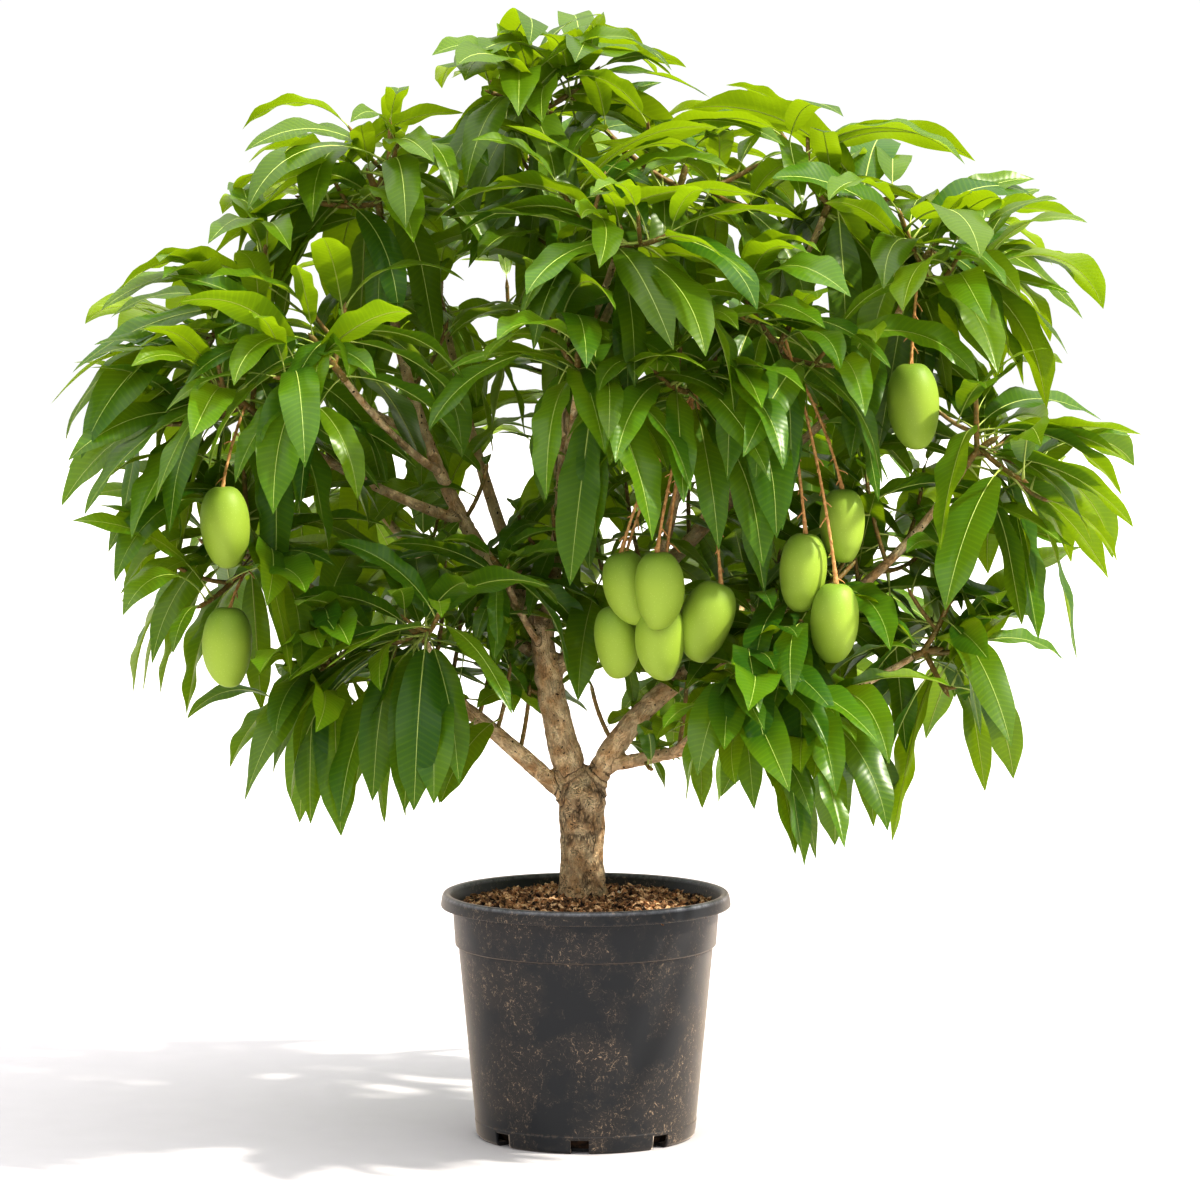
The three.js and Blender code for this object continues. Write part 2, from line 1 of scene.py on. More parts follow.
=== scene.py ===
# %% [markdown]
# # A young mango tree in fruit, in its nursery pot
#
# The frame is a plain model of the tree: a pot, a bed of bark mix, a trunk, thirty boughs and twenty-seven
# masses of foliage. This lesson dresses it for a picture. The pot becomes moulded plastic with dust on it,
# the limbs become one skin of bark, and each mass grows leaves, twigs and fruit by the rule that shaped it.
# All sizes are in millimetres, and are turned to metres only when a mesh is made.

import math

import bmesh
import bpy
import numpy as np
from mathutils import Matrix, Vector, kdtree, noise


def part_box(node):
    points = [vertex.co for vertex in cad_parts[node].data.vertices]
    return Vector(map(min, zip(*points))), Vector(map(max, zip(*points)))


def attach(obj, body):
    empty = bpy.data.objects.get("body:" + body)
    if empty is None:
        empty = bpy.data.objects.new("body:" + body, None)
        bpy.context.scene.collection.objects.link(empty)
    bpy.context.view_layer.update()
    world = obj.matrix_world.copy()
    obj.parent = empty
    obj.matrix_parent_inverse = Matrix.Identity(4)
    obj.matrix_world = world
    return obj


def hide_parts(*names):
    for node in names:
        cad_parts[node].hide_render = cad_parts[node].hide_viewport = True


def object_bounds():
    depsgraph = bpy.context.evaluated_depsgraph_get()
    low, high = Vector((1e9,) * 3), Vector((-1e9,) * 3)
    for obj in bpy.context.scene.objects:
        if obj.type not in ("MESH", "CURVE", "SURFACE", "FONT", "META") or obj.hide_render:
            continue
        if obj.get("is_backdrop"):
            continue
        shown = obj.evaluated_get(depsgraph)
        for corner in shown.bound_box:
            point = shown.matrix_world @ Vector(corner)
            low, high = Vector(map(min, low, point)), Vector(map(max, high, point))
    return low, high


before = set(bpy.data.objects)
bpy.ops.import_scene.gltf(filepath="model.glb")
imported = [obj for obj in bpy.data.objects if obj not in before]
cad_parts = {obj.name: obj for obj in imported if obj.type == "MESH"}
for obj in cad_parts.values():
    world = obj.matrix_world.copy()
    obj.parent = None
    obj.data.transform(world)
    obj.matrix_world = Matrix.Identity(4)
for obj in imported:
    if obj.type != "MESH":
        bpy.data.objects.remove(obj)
cad_box = [list(corner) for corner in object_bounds()]
scene = bpy.context.scene
MM = 0.001
print("nodes in the frame:", len(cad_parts))

# %% [markdown]
# ## The camera
#
# The tree is seen from a little above its middle, from far enough away that the pot's rim is a flat ellipse.
# A long lens from seven metres gives that calm view. The camera comes first, so that every later step can be
# judged through it.

# %% Set the camera
CAMERA_PLACE = (0.0206, -7.2, 1.385)
CAMERA_PITCH = math.radians(-4.814)
SENSOR_WIDTH = 36.0
FOCAL_LENGTH = SENSOR_WIDTH * 5013 / 1200  # the picture is 1200 units wide, and the lens 5013 units long

camera_data = bpy.data.cameras.new("camera")
camera_data.sensor_width = SENSOR_WIDTH
camera_data.lens = FOCAL_LENGTH
camera = bpy.data.objects.new("camera", camera_data)
camera.location = CAMERA_PLACE
camera.rotation_euler = (math.radians(90) + CAMERA_PITCH, 0, 0)
scene.collection.objects.link(camera)
scene.camera = camera
print("lens: %.1f mm" % camera_data.lens)

# %% [markdown]
# ## Tools for materials
#
# A material is a small graph of nodes. Two helpers keep each graph short: one turns a colour that a designer
# would pick, written as sRGB hex, into the linear values that light needs, and one adds a node with its
# settings and links. An input can be given as another node, and is then linked to that node's main output.

# %% Helpers for colours and nodes
def linear(colour):
    """The linear value of an sRGB hex colour such as "#3c3b3b"."""
    shares = [int(colour[i:i + 2], 16) / 255 for i in (1, 3, 5)]
    return [c / 12.92 if c <= 0.04045 else ((c + 0.055) / 1.055) ** 2.4 for c in shares] + [1.0]


def node(tree, kind, inputs=None, **settings):
    """Adds one node. Each input is a plain value, or a node or a socket, which is then linked."""
    added = tree.nodes.new("ShaderNode" + kind)
    for name, value in settings.items():
        setattr(added, name, value)
    for name, value in (inputs or {}).items():
        if isinstance(value, bpy.types.Node):
            value = next(socket for socket in value.outputs if socket.enabled)
        if isinstance(value, bpy.types.NodeSocket):
            tree.links.new(value, added.inputs[name])
        else:
            added.inputs[name].default_value = value
    return added


def material(name, build):
    """A material whose surface is the shader that build makes in its node tree."""
    made = bpy.data.materials.new(name)
    made.use_nodes = True
    made.node_tree.nodes.clear()
    shader = build(made.node_tree)
    node(made.node_tree, "OutputMaterial", {"Surface": shader})
    return made


MIX_COLOURS = {"data_type": "RGBA"}
FACTOR, COLOUR_A, COLOUR_B = 0, 6, 7  # the inputs of a colour mix

print("linear mid grey:", [round(value, 3) for value in linear("#808080")])

# %% [markdown]
# ## Tools for meshes
#
# A tree has thousands of small parts that look alike. Making an object for each would be slow to draw and to
# store, so a mould gathers their points and faces and casts them as one piece. Every point also carries three
# numbers, its marks, that say where it lies on its own leaf or limb. Materials read them, so grain and veins
# follow each part wherever it points.

# %% The mould
class Mould:
    """Points, faces and marks, gathered for one piece."""

    def __init__(self):
        self.points, self.marks, self.count = [], [], 0
        self.faces = {3: [], 4: []}  # by their number of corners

    def add(self, points, faces, marks=None):
        points = np.asarray(points, float).reshape(-1, 3)
        for group in faces:
            group = np.asarray(group, int)
            self.faces[group.shape[1]].append(group + self.count)
        self.points.append(points)
        marks = np.zeros_like(points) if marks is None else np.asarray(marks, float)
        self.marks.append(marks.reshape(-1, 3))
        self.count += len(points)

    def cast(self, name, surface=None, smooth=True):
        """The mesh object."""
        mesh = bpy.data.meshes.new(name)
        groups = [np.concatenate(group) for group in self.faces.values() if group]
        corners = np.concatenate([group.ravel() for group in groups])
        sizes = np.concatenate([np.full(len(group), group.shape[1]) for group in groups])
        mesh.vertices.add(self.count)
        mesh.vertices.foreach_set("co", (np.concatenate(self.points) * MM).ravel())
        mesh.loops.add(len(corners))
        mesh.loops.foreach_set("vertex_index", corners)
        mesh.polygons.add(len(sizes))
        mesh.polygons.foreach_set("loop_start", np.concatenate([[0], np.cumsum(sizes)[:-1]]))
        mesh.attributes.new("marks", "FLOAT_VECTOR", "POINT")
        mesh.attributes["marks"].data.foreach_set("vector", np.concatenate(self.marks).ravel())
        mesh.update(calc_edges=True)
        if smooth:
            mesh.shade_smooth()
        else:
            mesh.shade_flat()
        if surface:
            mesh.materials.append(surface)
        piece = bpy.data.objects.new(name, mesh)
        scene.collection.objects.link(piece)
        return piece


def dress(piece, slot, *nodes):
    """Fixes a piece to the tree and hides the plain nodes that it stands for."""
    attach(piece, "root")
    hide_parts(*nodes)
    triangles = sum(len(face.vertices) - 2 for face in piece.data.polygons)
    print("%s: %d triangles" % (piece.name, triangles))


def grid_faces(rows, columns, closed=False):
    """Quads between rows of points. A closed grid joins each row's last point to its first."""
    across = columns if closed else columns - 1
    row, column = np.meshgrid(np.arange(rows - 1), np.arange(across), indexing="ij")
    start, beside = row * columns + column, row * columns + (column + 1) % columns
    return np.stack([start, beside, beside + columns, start + columns], -1).reshape(-1, 4)


def fan_faces(hub, ring, turned=False):
    """Triangles from a hub to a closed ring of points."""
    ring = np.asarray(ring)
    beside = np.roll(ring, 1 if turned else -1)
    return np.stack([np.full(len(ring), hub), ring, beside], -1)


print("a 3 by 4 grid has", len(grid_faces(3, 4)), "quads")

# %% [markdown]
# ## The rule that the tree grows by
#
# The frame's limbs and shoots come from short tables and a seeded rule, and the same rule is written again
# here so that the leaves sit where the plain ones do. A limb is a curve between two points whose middle is
# pushed aside. Chance is a fixed scramble of whole numbers, so the tree is the same at every run.

# %% Chance and paths
CHANCE_WEIGHTS = [12.9898, 78.233, 37.719, 51.137]
SCRAMBLE = 43758.5453
TANGENT_STEP = 0.01  # the share of a path's length over which its direction is read
UP = np.array([0.0, 0.0, 1.0])
GOLDEN_ANGLE = math.pi * (3 - math.sqrt(5))


def chance(*keys):
    """A number from 0 to 1 that is always the same for the same whole numbers."""
    mixed = math.sin(sum(key * weight for key, weight in zip(keys, CHANCE_WEIGHTS))) * SCRAMBLE
    return mixed - math.floor(mixed)


def between(low, high, share):
    return low + (high - low) * share


def unit(vector):
    return vector / np.linalg.norm(vector, axis=-1, keepdims=True)


class Path:
    """A line through close points, read by the share of its length."""

    def __init__(self, points):
        self.points = np.asarray(points, float)
        steps = np.linalg.norm(np.diff(self.points, axis=0), axis=1)
        self.reach = np.concatenate([[0], np.cumsum(steps)])
        self.length = self.reach[-1]

    def at(self, share):
        where = np.asarray(share, float) * self.length
        return np.stack([np.interp(where, self.reach, self.points[:, axis]) for axis in range(3)], -1)

    def tangent(self, share):
        share = np.asarray(share, float)
        ahead, behind = np.minimum(share + TANGENT_STEP, 1), np.maximum(share - TANGENT_STEP, 0)
        return unit(self.at(ahead) - self.at(behind))


def curve(start, control, end, steps=200):
    """The path of a quadratic curve."""
    share = np.linspace(0, 1, steps)[:, None]
    start, control, end = (np.asarray(point, float) for point in (start, control, end))
    return Path((1 - share) ** 2 * start + 2 * share * (1 - share) * control + share ** 2 * end)


def bowed(start, end, bow):
    """A curve whose middle stands off the straight line by bow."""
    start, end = np.asarray(start, float), np.asarray(end, float)
    return curve(start, (start + end) / 2 + 2 * np.asarray(bow, float), end)


print("chance of 1, 2, 3:", round(chance(1, 2, 3), 4))

# %% [markdown]
# ## The pot
#
# A nursery pot is injection moulded, so its wall is one turned outline: a tapering body, a wider collar, and
# a rolled rim that a hand can grip. Eight slots at the foot let water out. The outline is spun round the axis
# with rounded corners, because a moulded edge is never sharp, and the slots are then cut with one Boolean.

# %% Turn the pot's wall
POT_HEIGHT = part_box("pot")[1].z / MM
RIM_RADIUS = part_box("pot")[1].x / MM
BASE_RADIUS, BODY_TOP_RADIUS = 159, 185
COLLAR_RADII = 189, 193  # at its foot and under the rim
RIM_DROP, COLLAR_HEIGHT, RIM_THICKNESS = 20, 58, 13
RIM_FOOT = POT_HEIGHT - RIM_DROP
COLLAR_FOOT = RIM_FOOT - COLLAR_HEIGHT
WALL, FLOOR = 3.5, 5
FOOT_LINE = 25  # a moulding line runs round the pot just above its slots
SLOT_COUNT, SLOT_WIDTH, SLOT_HEIGHT, SLOT_DEPTH = 8, 26, 20, 22
FIRST_SLOT = math.radians(-93)


def wall_radius(height):
    return between(BASE_RADIUS, BODY_TOP_RADIUS, height / COLLAR_FOOT)


def rounded(outline, steps=4):
    """An outline of (radius, height, corner radius) with each corner turned into an arc."""
    points = [np.array(corner[:2], float) for corner in outline]
    turned = [points[0]]
    for before, corner, after, (_, _, radius) in zip(points, points[1:], points[2:], outline[1:]):
        back, ahead = unit(before - corner), unit(after - corner)
        reach = min(radius, 0.45 * np.linalg.norm(before - corner), 0.45 * np.linalg.norm(after - corner))
        for share in np.linspace(0, 1, steps):
            start, end = corner + back * reach, corner + ahead * reach
            turned.append((1 - share) ** 2 * start + 2 * share * (1 - share) * corner + share ** 2 * end)
    return np.array(turned + [points[-1]])


def turned_mould(outline, segments):
    """An outline from axis to axis, spun round the pot's axis into a closed skin."""
    mould = Mould()
    turn = np.linspace(0, 2 * np.pi, segments, endpoint=False)
    rings = [
        [radius * np.cos(turn), radius * np.sin(turn), np.full(segments, height)]
        for radius, height in outline[1:-1]
    ]
    points = np.transpose(rings, (0, 2, 1)).reshape(-1, 3)
    last = len(points)
    faces = grid_faces(len(rings), segments, closed=True)
    hubs = [[0, 0, outline[0][1]], [0, 0, outline[-1][1]]]
    base = fan_faces(last, range(segments), turned=True)
    top = fan_faces(last + 1, range(last - segments, last))
    mould.add(np.concatenate([points, hubs]), [faces, np.concatenate([base, top])])
    return mould


POT_OUTLINE = [
    (0, 0, 0),
    (BASE_RADIUS - 4, 0, 2),
    (BASE_RADIUS, 4, 3),
    (wall_radius(FOOT_LINE - 1), FOOT_LINE - 1, 1),
    (wall_radius(FOOT_LINE) - 0.8, FOOT_LINE + 0.5, 1),
    (BODY_TOP_RADIUS - 0.6, COLLAR_FOOT, 1),
    (COLLAR_RADII[0], COLLAR_FOOT + 2, 1.5),
    (COLLAR_RADII[1], RIM_FOOT + 2, 2),
    (RIM_RADIUS - 1, RIM_FOOT - 0.5, 1.2),
    (RIM_RADIUS, RIM_FOOT + 1.5, 1.5),
    (RIM_RADIUS - 2, POT_HEIGHT - 4.5, 3),
    (RIM_RADIUS - 5, POT_HEIGHT, 3),
    (RIM_RADIUS - RIM_THICKNESS, POT_HEIGHT - 1, 3),
    (COLLAR_RADII[1] - WALL, RIM_FOOT - 4, 6),
    (COLLAR_RADII[0] - WALL, COLLAR_FOOT + 4, 2),
    (BODY_TOP_RADIUS - WALL, COLLAR_FOOT - 2, 2),
    (wall_radius(FLOOR) - WALL, FLOOR, 2),
    (0, FLOOR, 0),
]
pot_mould = turned_mould(rounded(POT_OUTLINE), segments=180)
print("pot: %.0f mm across the rim, %.0f mm tall" % (2 * RIM_RADIUS, POT_HEIGHT))

# %% [markdown]
# Dirt and wear follow simple rules: they sit near a line, they need several things at once, or they come from
# whichever cause is strongest. Three small tools say that in nodes. A noise is scaled by the size of its
# clouds in millimetres.

# %% Tools for patterns
def scale_of(size):
    """The scale of a pattern whose features are this many millimetres wide, on places in metres."""
    return 1 / (size * MM)


def near(tree, value, level, width):
    """1 where a value is at a level, and 0 further than a width from it."""
    away = node(tree, "Math", {0: value, 1: level}, operation="SUBTRACT")
    away = node(tree, "Math", {0: away}, operation="ABSOLUTE")
    return node(tree, "MapRange", {"Value": away, "From Max": width, "To Min": 1.0, "To Max": 0.0})


def product(tree, *factors):
    """What is left where all the factors meet."""
    result = factors[0]
    for factor in factors[1:]:
        result = node(tree, "Math", {0: result, 1: factor}, operation="MULTIPLY")
    return result


def largest(tree, *values):
    """The strongest of several causes at each place."""
    result = values[0]
    for value in values[1:]:
        result = node(tree, "Math", {0: result, 1: value}, operation="MAXIMUM")
    return result


print("scale of 10 mm clouds:", round(scale_of(10)))

# %% [markdown]
# The plastic is polypropylene with carbon black in it, moulded, so it is matt and a little warm. A pot that
# has stood in a nursery wears a film of dried mud: soft clouds of dust, short curved scuffs where other pots
# rubbed it, and pale lines along every edge that dirt settles on. The scuffs are the thin contour lines of a
# noise, cut short by a second noise. A sheen stands for the dust that shows where the wall turns away. Just
# under the pot's top, a broken bluish-grey line is a painted highlight: the sky's reflection on the rim's
# edge.

# %% Dusty recycled polypropylene
DUST_CLOUD_MM, SCUFFS_MM, BREAK_MM, SPECK_MM = 90, (26, 13), 7, 2.2
SCUFF_STRETCH = 0.6  # scuffs are longer up and down than across
LINE_HEIGHTS = [COLLAR_FOOT, RIM_FOOT, FOOT_LINE]  # edges where dirt settles
LINE_WIDTH = 3.5
HIGHLIGHT_DROP, HIGHLIGHT_WIDTH = 3, 4  # the lip's painted highlight: how far below the pot's top, and its half width
CRUMBLY = {"Detail": 3.0, "Roughness": 0.7}
CURLY = {"Detail": 3.0, "Distortion": 1.6}


def dusty_polypropylene(tree):
    place = node(tree, "TexCoord").outputs["Object"]
    clouds = node(tree, "TexNoise", {
        "Vector": place, "Scale": scale_of(DUST_CLOUD_MM), "Detail": 5.0, "Roughness": 0.65,
    })
    dusty = node(tree, "MapRange", {"Value": clouds, "From Min": 0.42, "From Max": 0.7})
    specks = node(tree, "TexNoise", {"Vector": place, "Scale": scale_of(SPECK_MM), **CRUMBLY})
    breaks = node(tree, "TexNoise", {"Vector": place, "Scale": scale_of(BREAK_MM), **CRUMBLY})
    broken = node(tree, "MapRange", {"Value": breaks, "From Min": 0.47, "From Max": 0.6})
    streaked = node(tree, "Mapping", {"Vector": place, "Scale": (1, 1, SCUFF_STRETCH)})
    long_waves = node(tree, "TexNoise", {"Vector": streaked, "Scale": scale_of(SCUFFS_MM[0]), **CURLY})
    short_waves = node(tree, "TexNoise", {"Vector": place, "Scale": scale_of(SCUFFS_MM[1]), **CURLY})
    long_curls = near(tree, long_waves, 0.53, 0.014)
    short_curls = near(tree, short_waves, 0.47, 0.016)
    spots = node(tree, "MapRange", {"Value": specks, "From Min": 0.68, "From Max": 0.76})
    worn = product(tree, largest(tree, long_curls, short_curls, spots), broken, dusty)
    height = node(tree, "SeparateXYZ", {0: place}).outputs["Z"]
    # Painted highlight: a bluish-grey line round the rim just under its top, broken by a noise, stands for
    # the sky's reflection on the rounded edge.
    lip_highlight_breaks = node(tree, "MapRange", {
        "Value": breaks, "From Min": 0.3, "From Max": 0.6, "To Min": 0.25, "To Max": 0.8,
    })
    dirt = product(tree, dusty, specks)
    for line in LINE_HEIGHTS:
        dirt = largest(tree, dirt, product(tree, near(tree, height, line * MM, LINE_WIDTH * MM), broken))
    lip_highlight = near(tree, height, (POT_HEIGHT - HIGHLIGHT_DROP) * MM, HIGHLIGHT_WIDTH * MM)
    lip_highlight = product(tree, lip_highlight, lip_highlight_breaks)
    black, film, mud, highlight_grey = linear("#1f2226"), linear("#4c433c"), linear("#c9af92"), linear("#8b8d95")
    filmed = node(tree, "Mix", {FACTOR: dirt, COLOUR_A: black, COLOUR_B: film}, **MIX_COLOURS)
    highlighted = node(tree, "Mix", {FACTOR: lip_highlight, COLOUR_A: filmed, COLOUR_B: highlight_grey}, **MIX_COLOURS)
    coloured = node(tree, "Mix", {FACTOR: worn, COLOUR_A: highlighted, COLOUR_B: mud}, **MIX_COLOURS)
    rough = node(tree, "MapRange", {"Value": dirt, "To Min": 0.36, "To Max": 0.65})
    bumps = node(tree, "Bump", {"Height": specks, "Strength": 0.2, "Distance": 0.3 * MM})
    return node(tree, "BsdfPrincipled", {
        "Base Color": coloured, "Roughness": rough, "Normal": bumps, "IOR": 1.45,
        "Sheen Weight": 1.0, "Sheen Roughness": 0.36, "Sheen Tint": linear("#d6c4b2"),
    })


pot_plastic = material("dusty_polypropylene", dusty_polypropylene)
print("pot finish:", pot_plastic.name)

# %% [markdown]
# The slots are cut once the wall is a mesh. A Boolean modifier with eight boxes does it, and is made part of
# the mesh at once, so that the boxes can go.

# %% Cast the pot and cut its slots
def applied(piece):
    """The piece with its modifiers made part of its mesh."""
    view = bpy.context.evaluated_depsgraph_get()
    mesh = bpy.data.meshes.new_from_object(piece.evaluated_get(view))
    piece.modifiers.clear()
    piece.data = mesh
    return piece


def slot_cutter():
    """Eight boxes through the foot of the pot's wall, as one object."""
    boxes = bmesh.new()
    for k in range(SLOT_COUNT):
        turn = Matrix.Rotation(FIRST_SLOT + k * 2 * math.pi / SLOT_COUNT, 4, "Z")
        size = Matrix.Diagonal((2 * SLOT_DEPTH * MM, SLOT_WIDTH * MM, 2 * SLOT_HEIGHT * MM, 1))
        place = turn @ Matrix.Translation((BASE_RADIUS * MM, 0, 0)) @ size
        bmesh.ops.create_cube(boxes, size=1, matrix=place)
    mesh = bpy.data.meshes.new("slot_cutter")
    boxes.to_mesh(mesh)
    boxes.free()
    cutter = bpy.data.objects.new("slot_cutter", mesh)
    scene.collection.objects.link(cutter)
    return cutter


pot = pot_mould.cast("nursery_pot", pot_plastic)
cutter = slot_cutter()
cut = pot.modifiers.new("slots", "BOOLEAN")
cut.object, cut.operation, cut.solver = cutter, "DIFFERENCE", "EXACT"
applied(pot)
bpy.data.objects.remove(cutter)
dress(pot, "pot", "pot")

# %% [markdown]
# ## The bark mix
#
# The pot is filled with composted bark: a dark crumb with chips in it, some of them freshly split and orange,
# and a few pale crumbs of perlite. The bed is a turned solid like the pot, with a lumpy top. The chips are
# thousands of small bent slabs laid on it, cast by colour, because real chips each have one colour.

# %% Lay the bed
CROWN_HEIGHT, EDGE_HEIGHT, SEAT_RADIUS = 345, 331, 62
MIX_GAP = 0.35  # between the mix and the pot's floor
SLUMP, SLUMP_TOP = 14, 60  # how far the mix has washed back from the slots, and up to which height
WALL_GAP = 1.5
BED_RADIUS = between(*COLLAR_RADII, (EDGE_HEIGHT - COLLAR_FOOT) / COLLAR_HEIGHT) - WALL - WALL_GAP
BROAD_LUMPS, FINE_LUMPS, LUMPS_SUNK = (38, 2.2), (13, 1.6), 1.5  # widths and heights of lumps


def lumps(x, y, size, salt):
    """Smooth noise from -1 to 1 with lumps of one size."""
    return noise.noise(Vector((x / size, y / size, salt)))


def bed_height(x, y):
    """The height of the mix: a low mound, which is lumpy away from the wall and the trunk."""
    radius = math.hypot(x, y)
    share = min(max((radius - SEAT_RADIUS) / (BED_RADIUS - SEAT_RADIUS), 0), 1)
    mound = between(CROWN_HEIGHT, EDGE_HEIGHT, share ** 1.3)
    broad = BROAD_LUMPS[1] * lumps(x, y, BROAD_LUMPS[0], 1)
    fine = FINE_LUMPS[1] * lumps(x, y, FINE_LUMPS[0], 2)
    return mound + broad + fine - LUMPS_SUNK


def bed_mould():
    """The bed, as a turned solid with its top set to the lumpy height."""
    inside = [
        (0, FLOOR + MIX_GAP, 0),
        (wall_radius(FLOOR) - WALL - SLUMP, FLOOR + MIX_GAP, 1),
        (wall_radius(SLUMP_TOP) - WALL - 1, SLUMP_TOP, 1),
        (BODY_TOP_RADIUS - WALL - 1, COLLAR_FOOT - 2, 1),
        (BED_RADIUS - WALL_GAP, COLLAR_FOOT + 5, 1),
    ]
    top = [(radius, EDGE_HEIGHT, 0) for radius in np.linspace(BED_RADIUS, 0, 34)]
    mould = turned_mould(rounded(inside + top, steps=2), segments=160)
    points = mould.points[0]
    on_top = points[:, 2] >= EDGE_HEIGHT - 0.01
    points[on_top, 2] = [bed_height(x, y) for x, y in points[on_top, :2]]
    return mould


print("bed: %.0f mm across, %.0f mm high at the trunk" % (2 * BED_RADIUS, CROWN_HEIGHT))

# %% [markdown]
# A chip is a slab of bark: a few millimetres thick, longer than wide, with no two corners alike. Eight points
# and six faces are enough, because the eye sees thousands of them at once and not one by itself.

# %% Chips of bark
CHIP_COUNTS = {"dark": 4600, "orange": 1900, "perlite": 90}
CHIP_SIZES = {"dark": (5, 26), "orange": (4, 24), "perlite": (3, 6)}  # shortest and longest, in millimetres
CHIP_RISE = {"dark": 4, "orange": 6, "perlite": 4}
CHIP_WIDTHS, CHIP_DEPTHS = (0.07, 0.26), (0.04, 0.12)  # half sizes, as shares of a chip's length
PERLITE_SHAPE = [0.5, 0.42, 0.36]
PITCH, ROLLED = 0.45, 0.5  # how far chips tilt, in radians
CHIPS_FROM_AXIS, CHIPS_FROM_WALL = 34, 5
FIRST_CHIP_SEED = 40
SLAB = np.array([[x, y, z] for z in (-1, 1) for y in (-1, 1) for x in (-1, 1)], float)
SLAB_FACES = [[0, 2, 3, 1], [4, 5, 7, 6], [0, 1, 5, 4], [2, 6, 7, 3], [0, 4, 6, 2], [1, 3, 7, 5]]


def chip_mould(kind, random):
    """Bent slabs that lie on the bed at all angles, mostly flat."""
    mould = Mould()
    shortest, longest = CHIP_SIZES[kind]
    for _ in range(CHIP_COUNTS[kind]):
        radius = math.sqrt(random.uniform(CHIPS_FROM_AXIS ** 2, (BED_RADIUS - CHIPS_FROM_WALL) ** 2))
        turn = random.uniform(0, 2 * math.pi)
        x, y = radius * math.cos(turn), radius * math.sin(turn)
        length = between(shortest, longest, random.random() ** 2)
        shape = length * np.array([0.5, random.uniform(*CHIP_WIDTHS), random.uniform(*CHIP_DEPTHS)])
        if kind == "perlite":
            shape = length * np.array(PERLITE_SHAPE)
        slab = SLAB * shape * random.uniform(0.7, 1.25, (8, 3))
        tilt = Matrix.Rotation(random.uniform(0, 2 * math.pi), 3, "Z")
        tilt = tilt @ Matrix.Rotation(random.normal(0, PITCH), 3, "Y")
        tilt = tilt @ Matrix.Rotation(random.normal(0, ROLLED), 3, "X")
        height = bed_height(x, y) + random.uniform(-0.5, CHIP_RISE[kind])
        points = slab @ np.array(tilt).T + [x, y, height]
        mould.add(points, [SLAB_FACES], np.full((8, 3), random.random()))
    return mould


print("chips:", sum(CHIP_COUNTS.values()))

# %% [markdown]
# Composted bark is nearly black where it is wet and brown where it has dried. The split face of a fresh chip
# is orange. Perlite is glass that has been puffed up by heat, so it is white and rough.

# %% Finishes of the mix
def crumb(dark, light, grain_mm):
    """A builder of rough mottled surfaces between two colours."""
    def build(tree):
        place = node(tree, "TexCoord").outputs["Object"]
        grain = node(tree, "TexNoise", {
            "Vector": place, "Scale": scale_of(grain_mm), "Detail": 4.0, "Roughness": 0.65,
        })
        share = node(tree, "MapRange", {"Value": grain, "From Min": 0.41, "From Max": 0.63})
        mottled = node(tree, "Mix", {
            FACTOR: share, COLOUR_A: linear(dark), COLOUR_B: linear(light),
        }, **MIX_COLOURS)
        bumps = node(tree, "Bump", {"Height": grain, "Strength": 0.8, "Distance": 1.2 * MM})
        return node(tree, "BsdfPrincipled", {
            "Base Color": mottled, "Normal": bumps, "Roughness": 0.85, "IOR": 1.4,
        })
    return build


composted_bark = material("composted_bark", crumb("#1c120c", "#4c3523", 9))
MIX_FINISHES = {
    "dark": material("moist_bark_chips", crumb("#1e130c", "#b58860", 8)),
    "orange": material("split_bark_chips", crumb("#a56f45", "#ffdfb6", 5)),
    "perlite": material("perlite", crumb("#cfc6b6", "#f2ede2", 3)),
}
dress(bed_mould().cast("bark_mix_bed", composted_bark), "mix", "bark_mix")
for seed, kind in enumerate(CHIP_COUNTS):
    chips = chip_mould(kind, np.random.default_rng(FIRST_CHIP_SEED + seed))
    dress(chips.cast("bark_mix_" + kind, MIX_FINISHES[kind], smooth=False), "mix", "bark_mix")

# %% [markdown]
# ## The trunk and the boughs
#
# The trunk leans a little, flares at its foot and swells where it forks. Each bough leaves its parent's
# middle line at a share of its length, bends once and tapers. The table repeats the frame's driving sizes, so
# that bark and leaves sit where the plain limbs do.

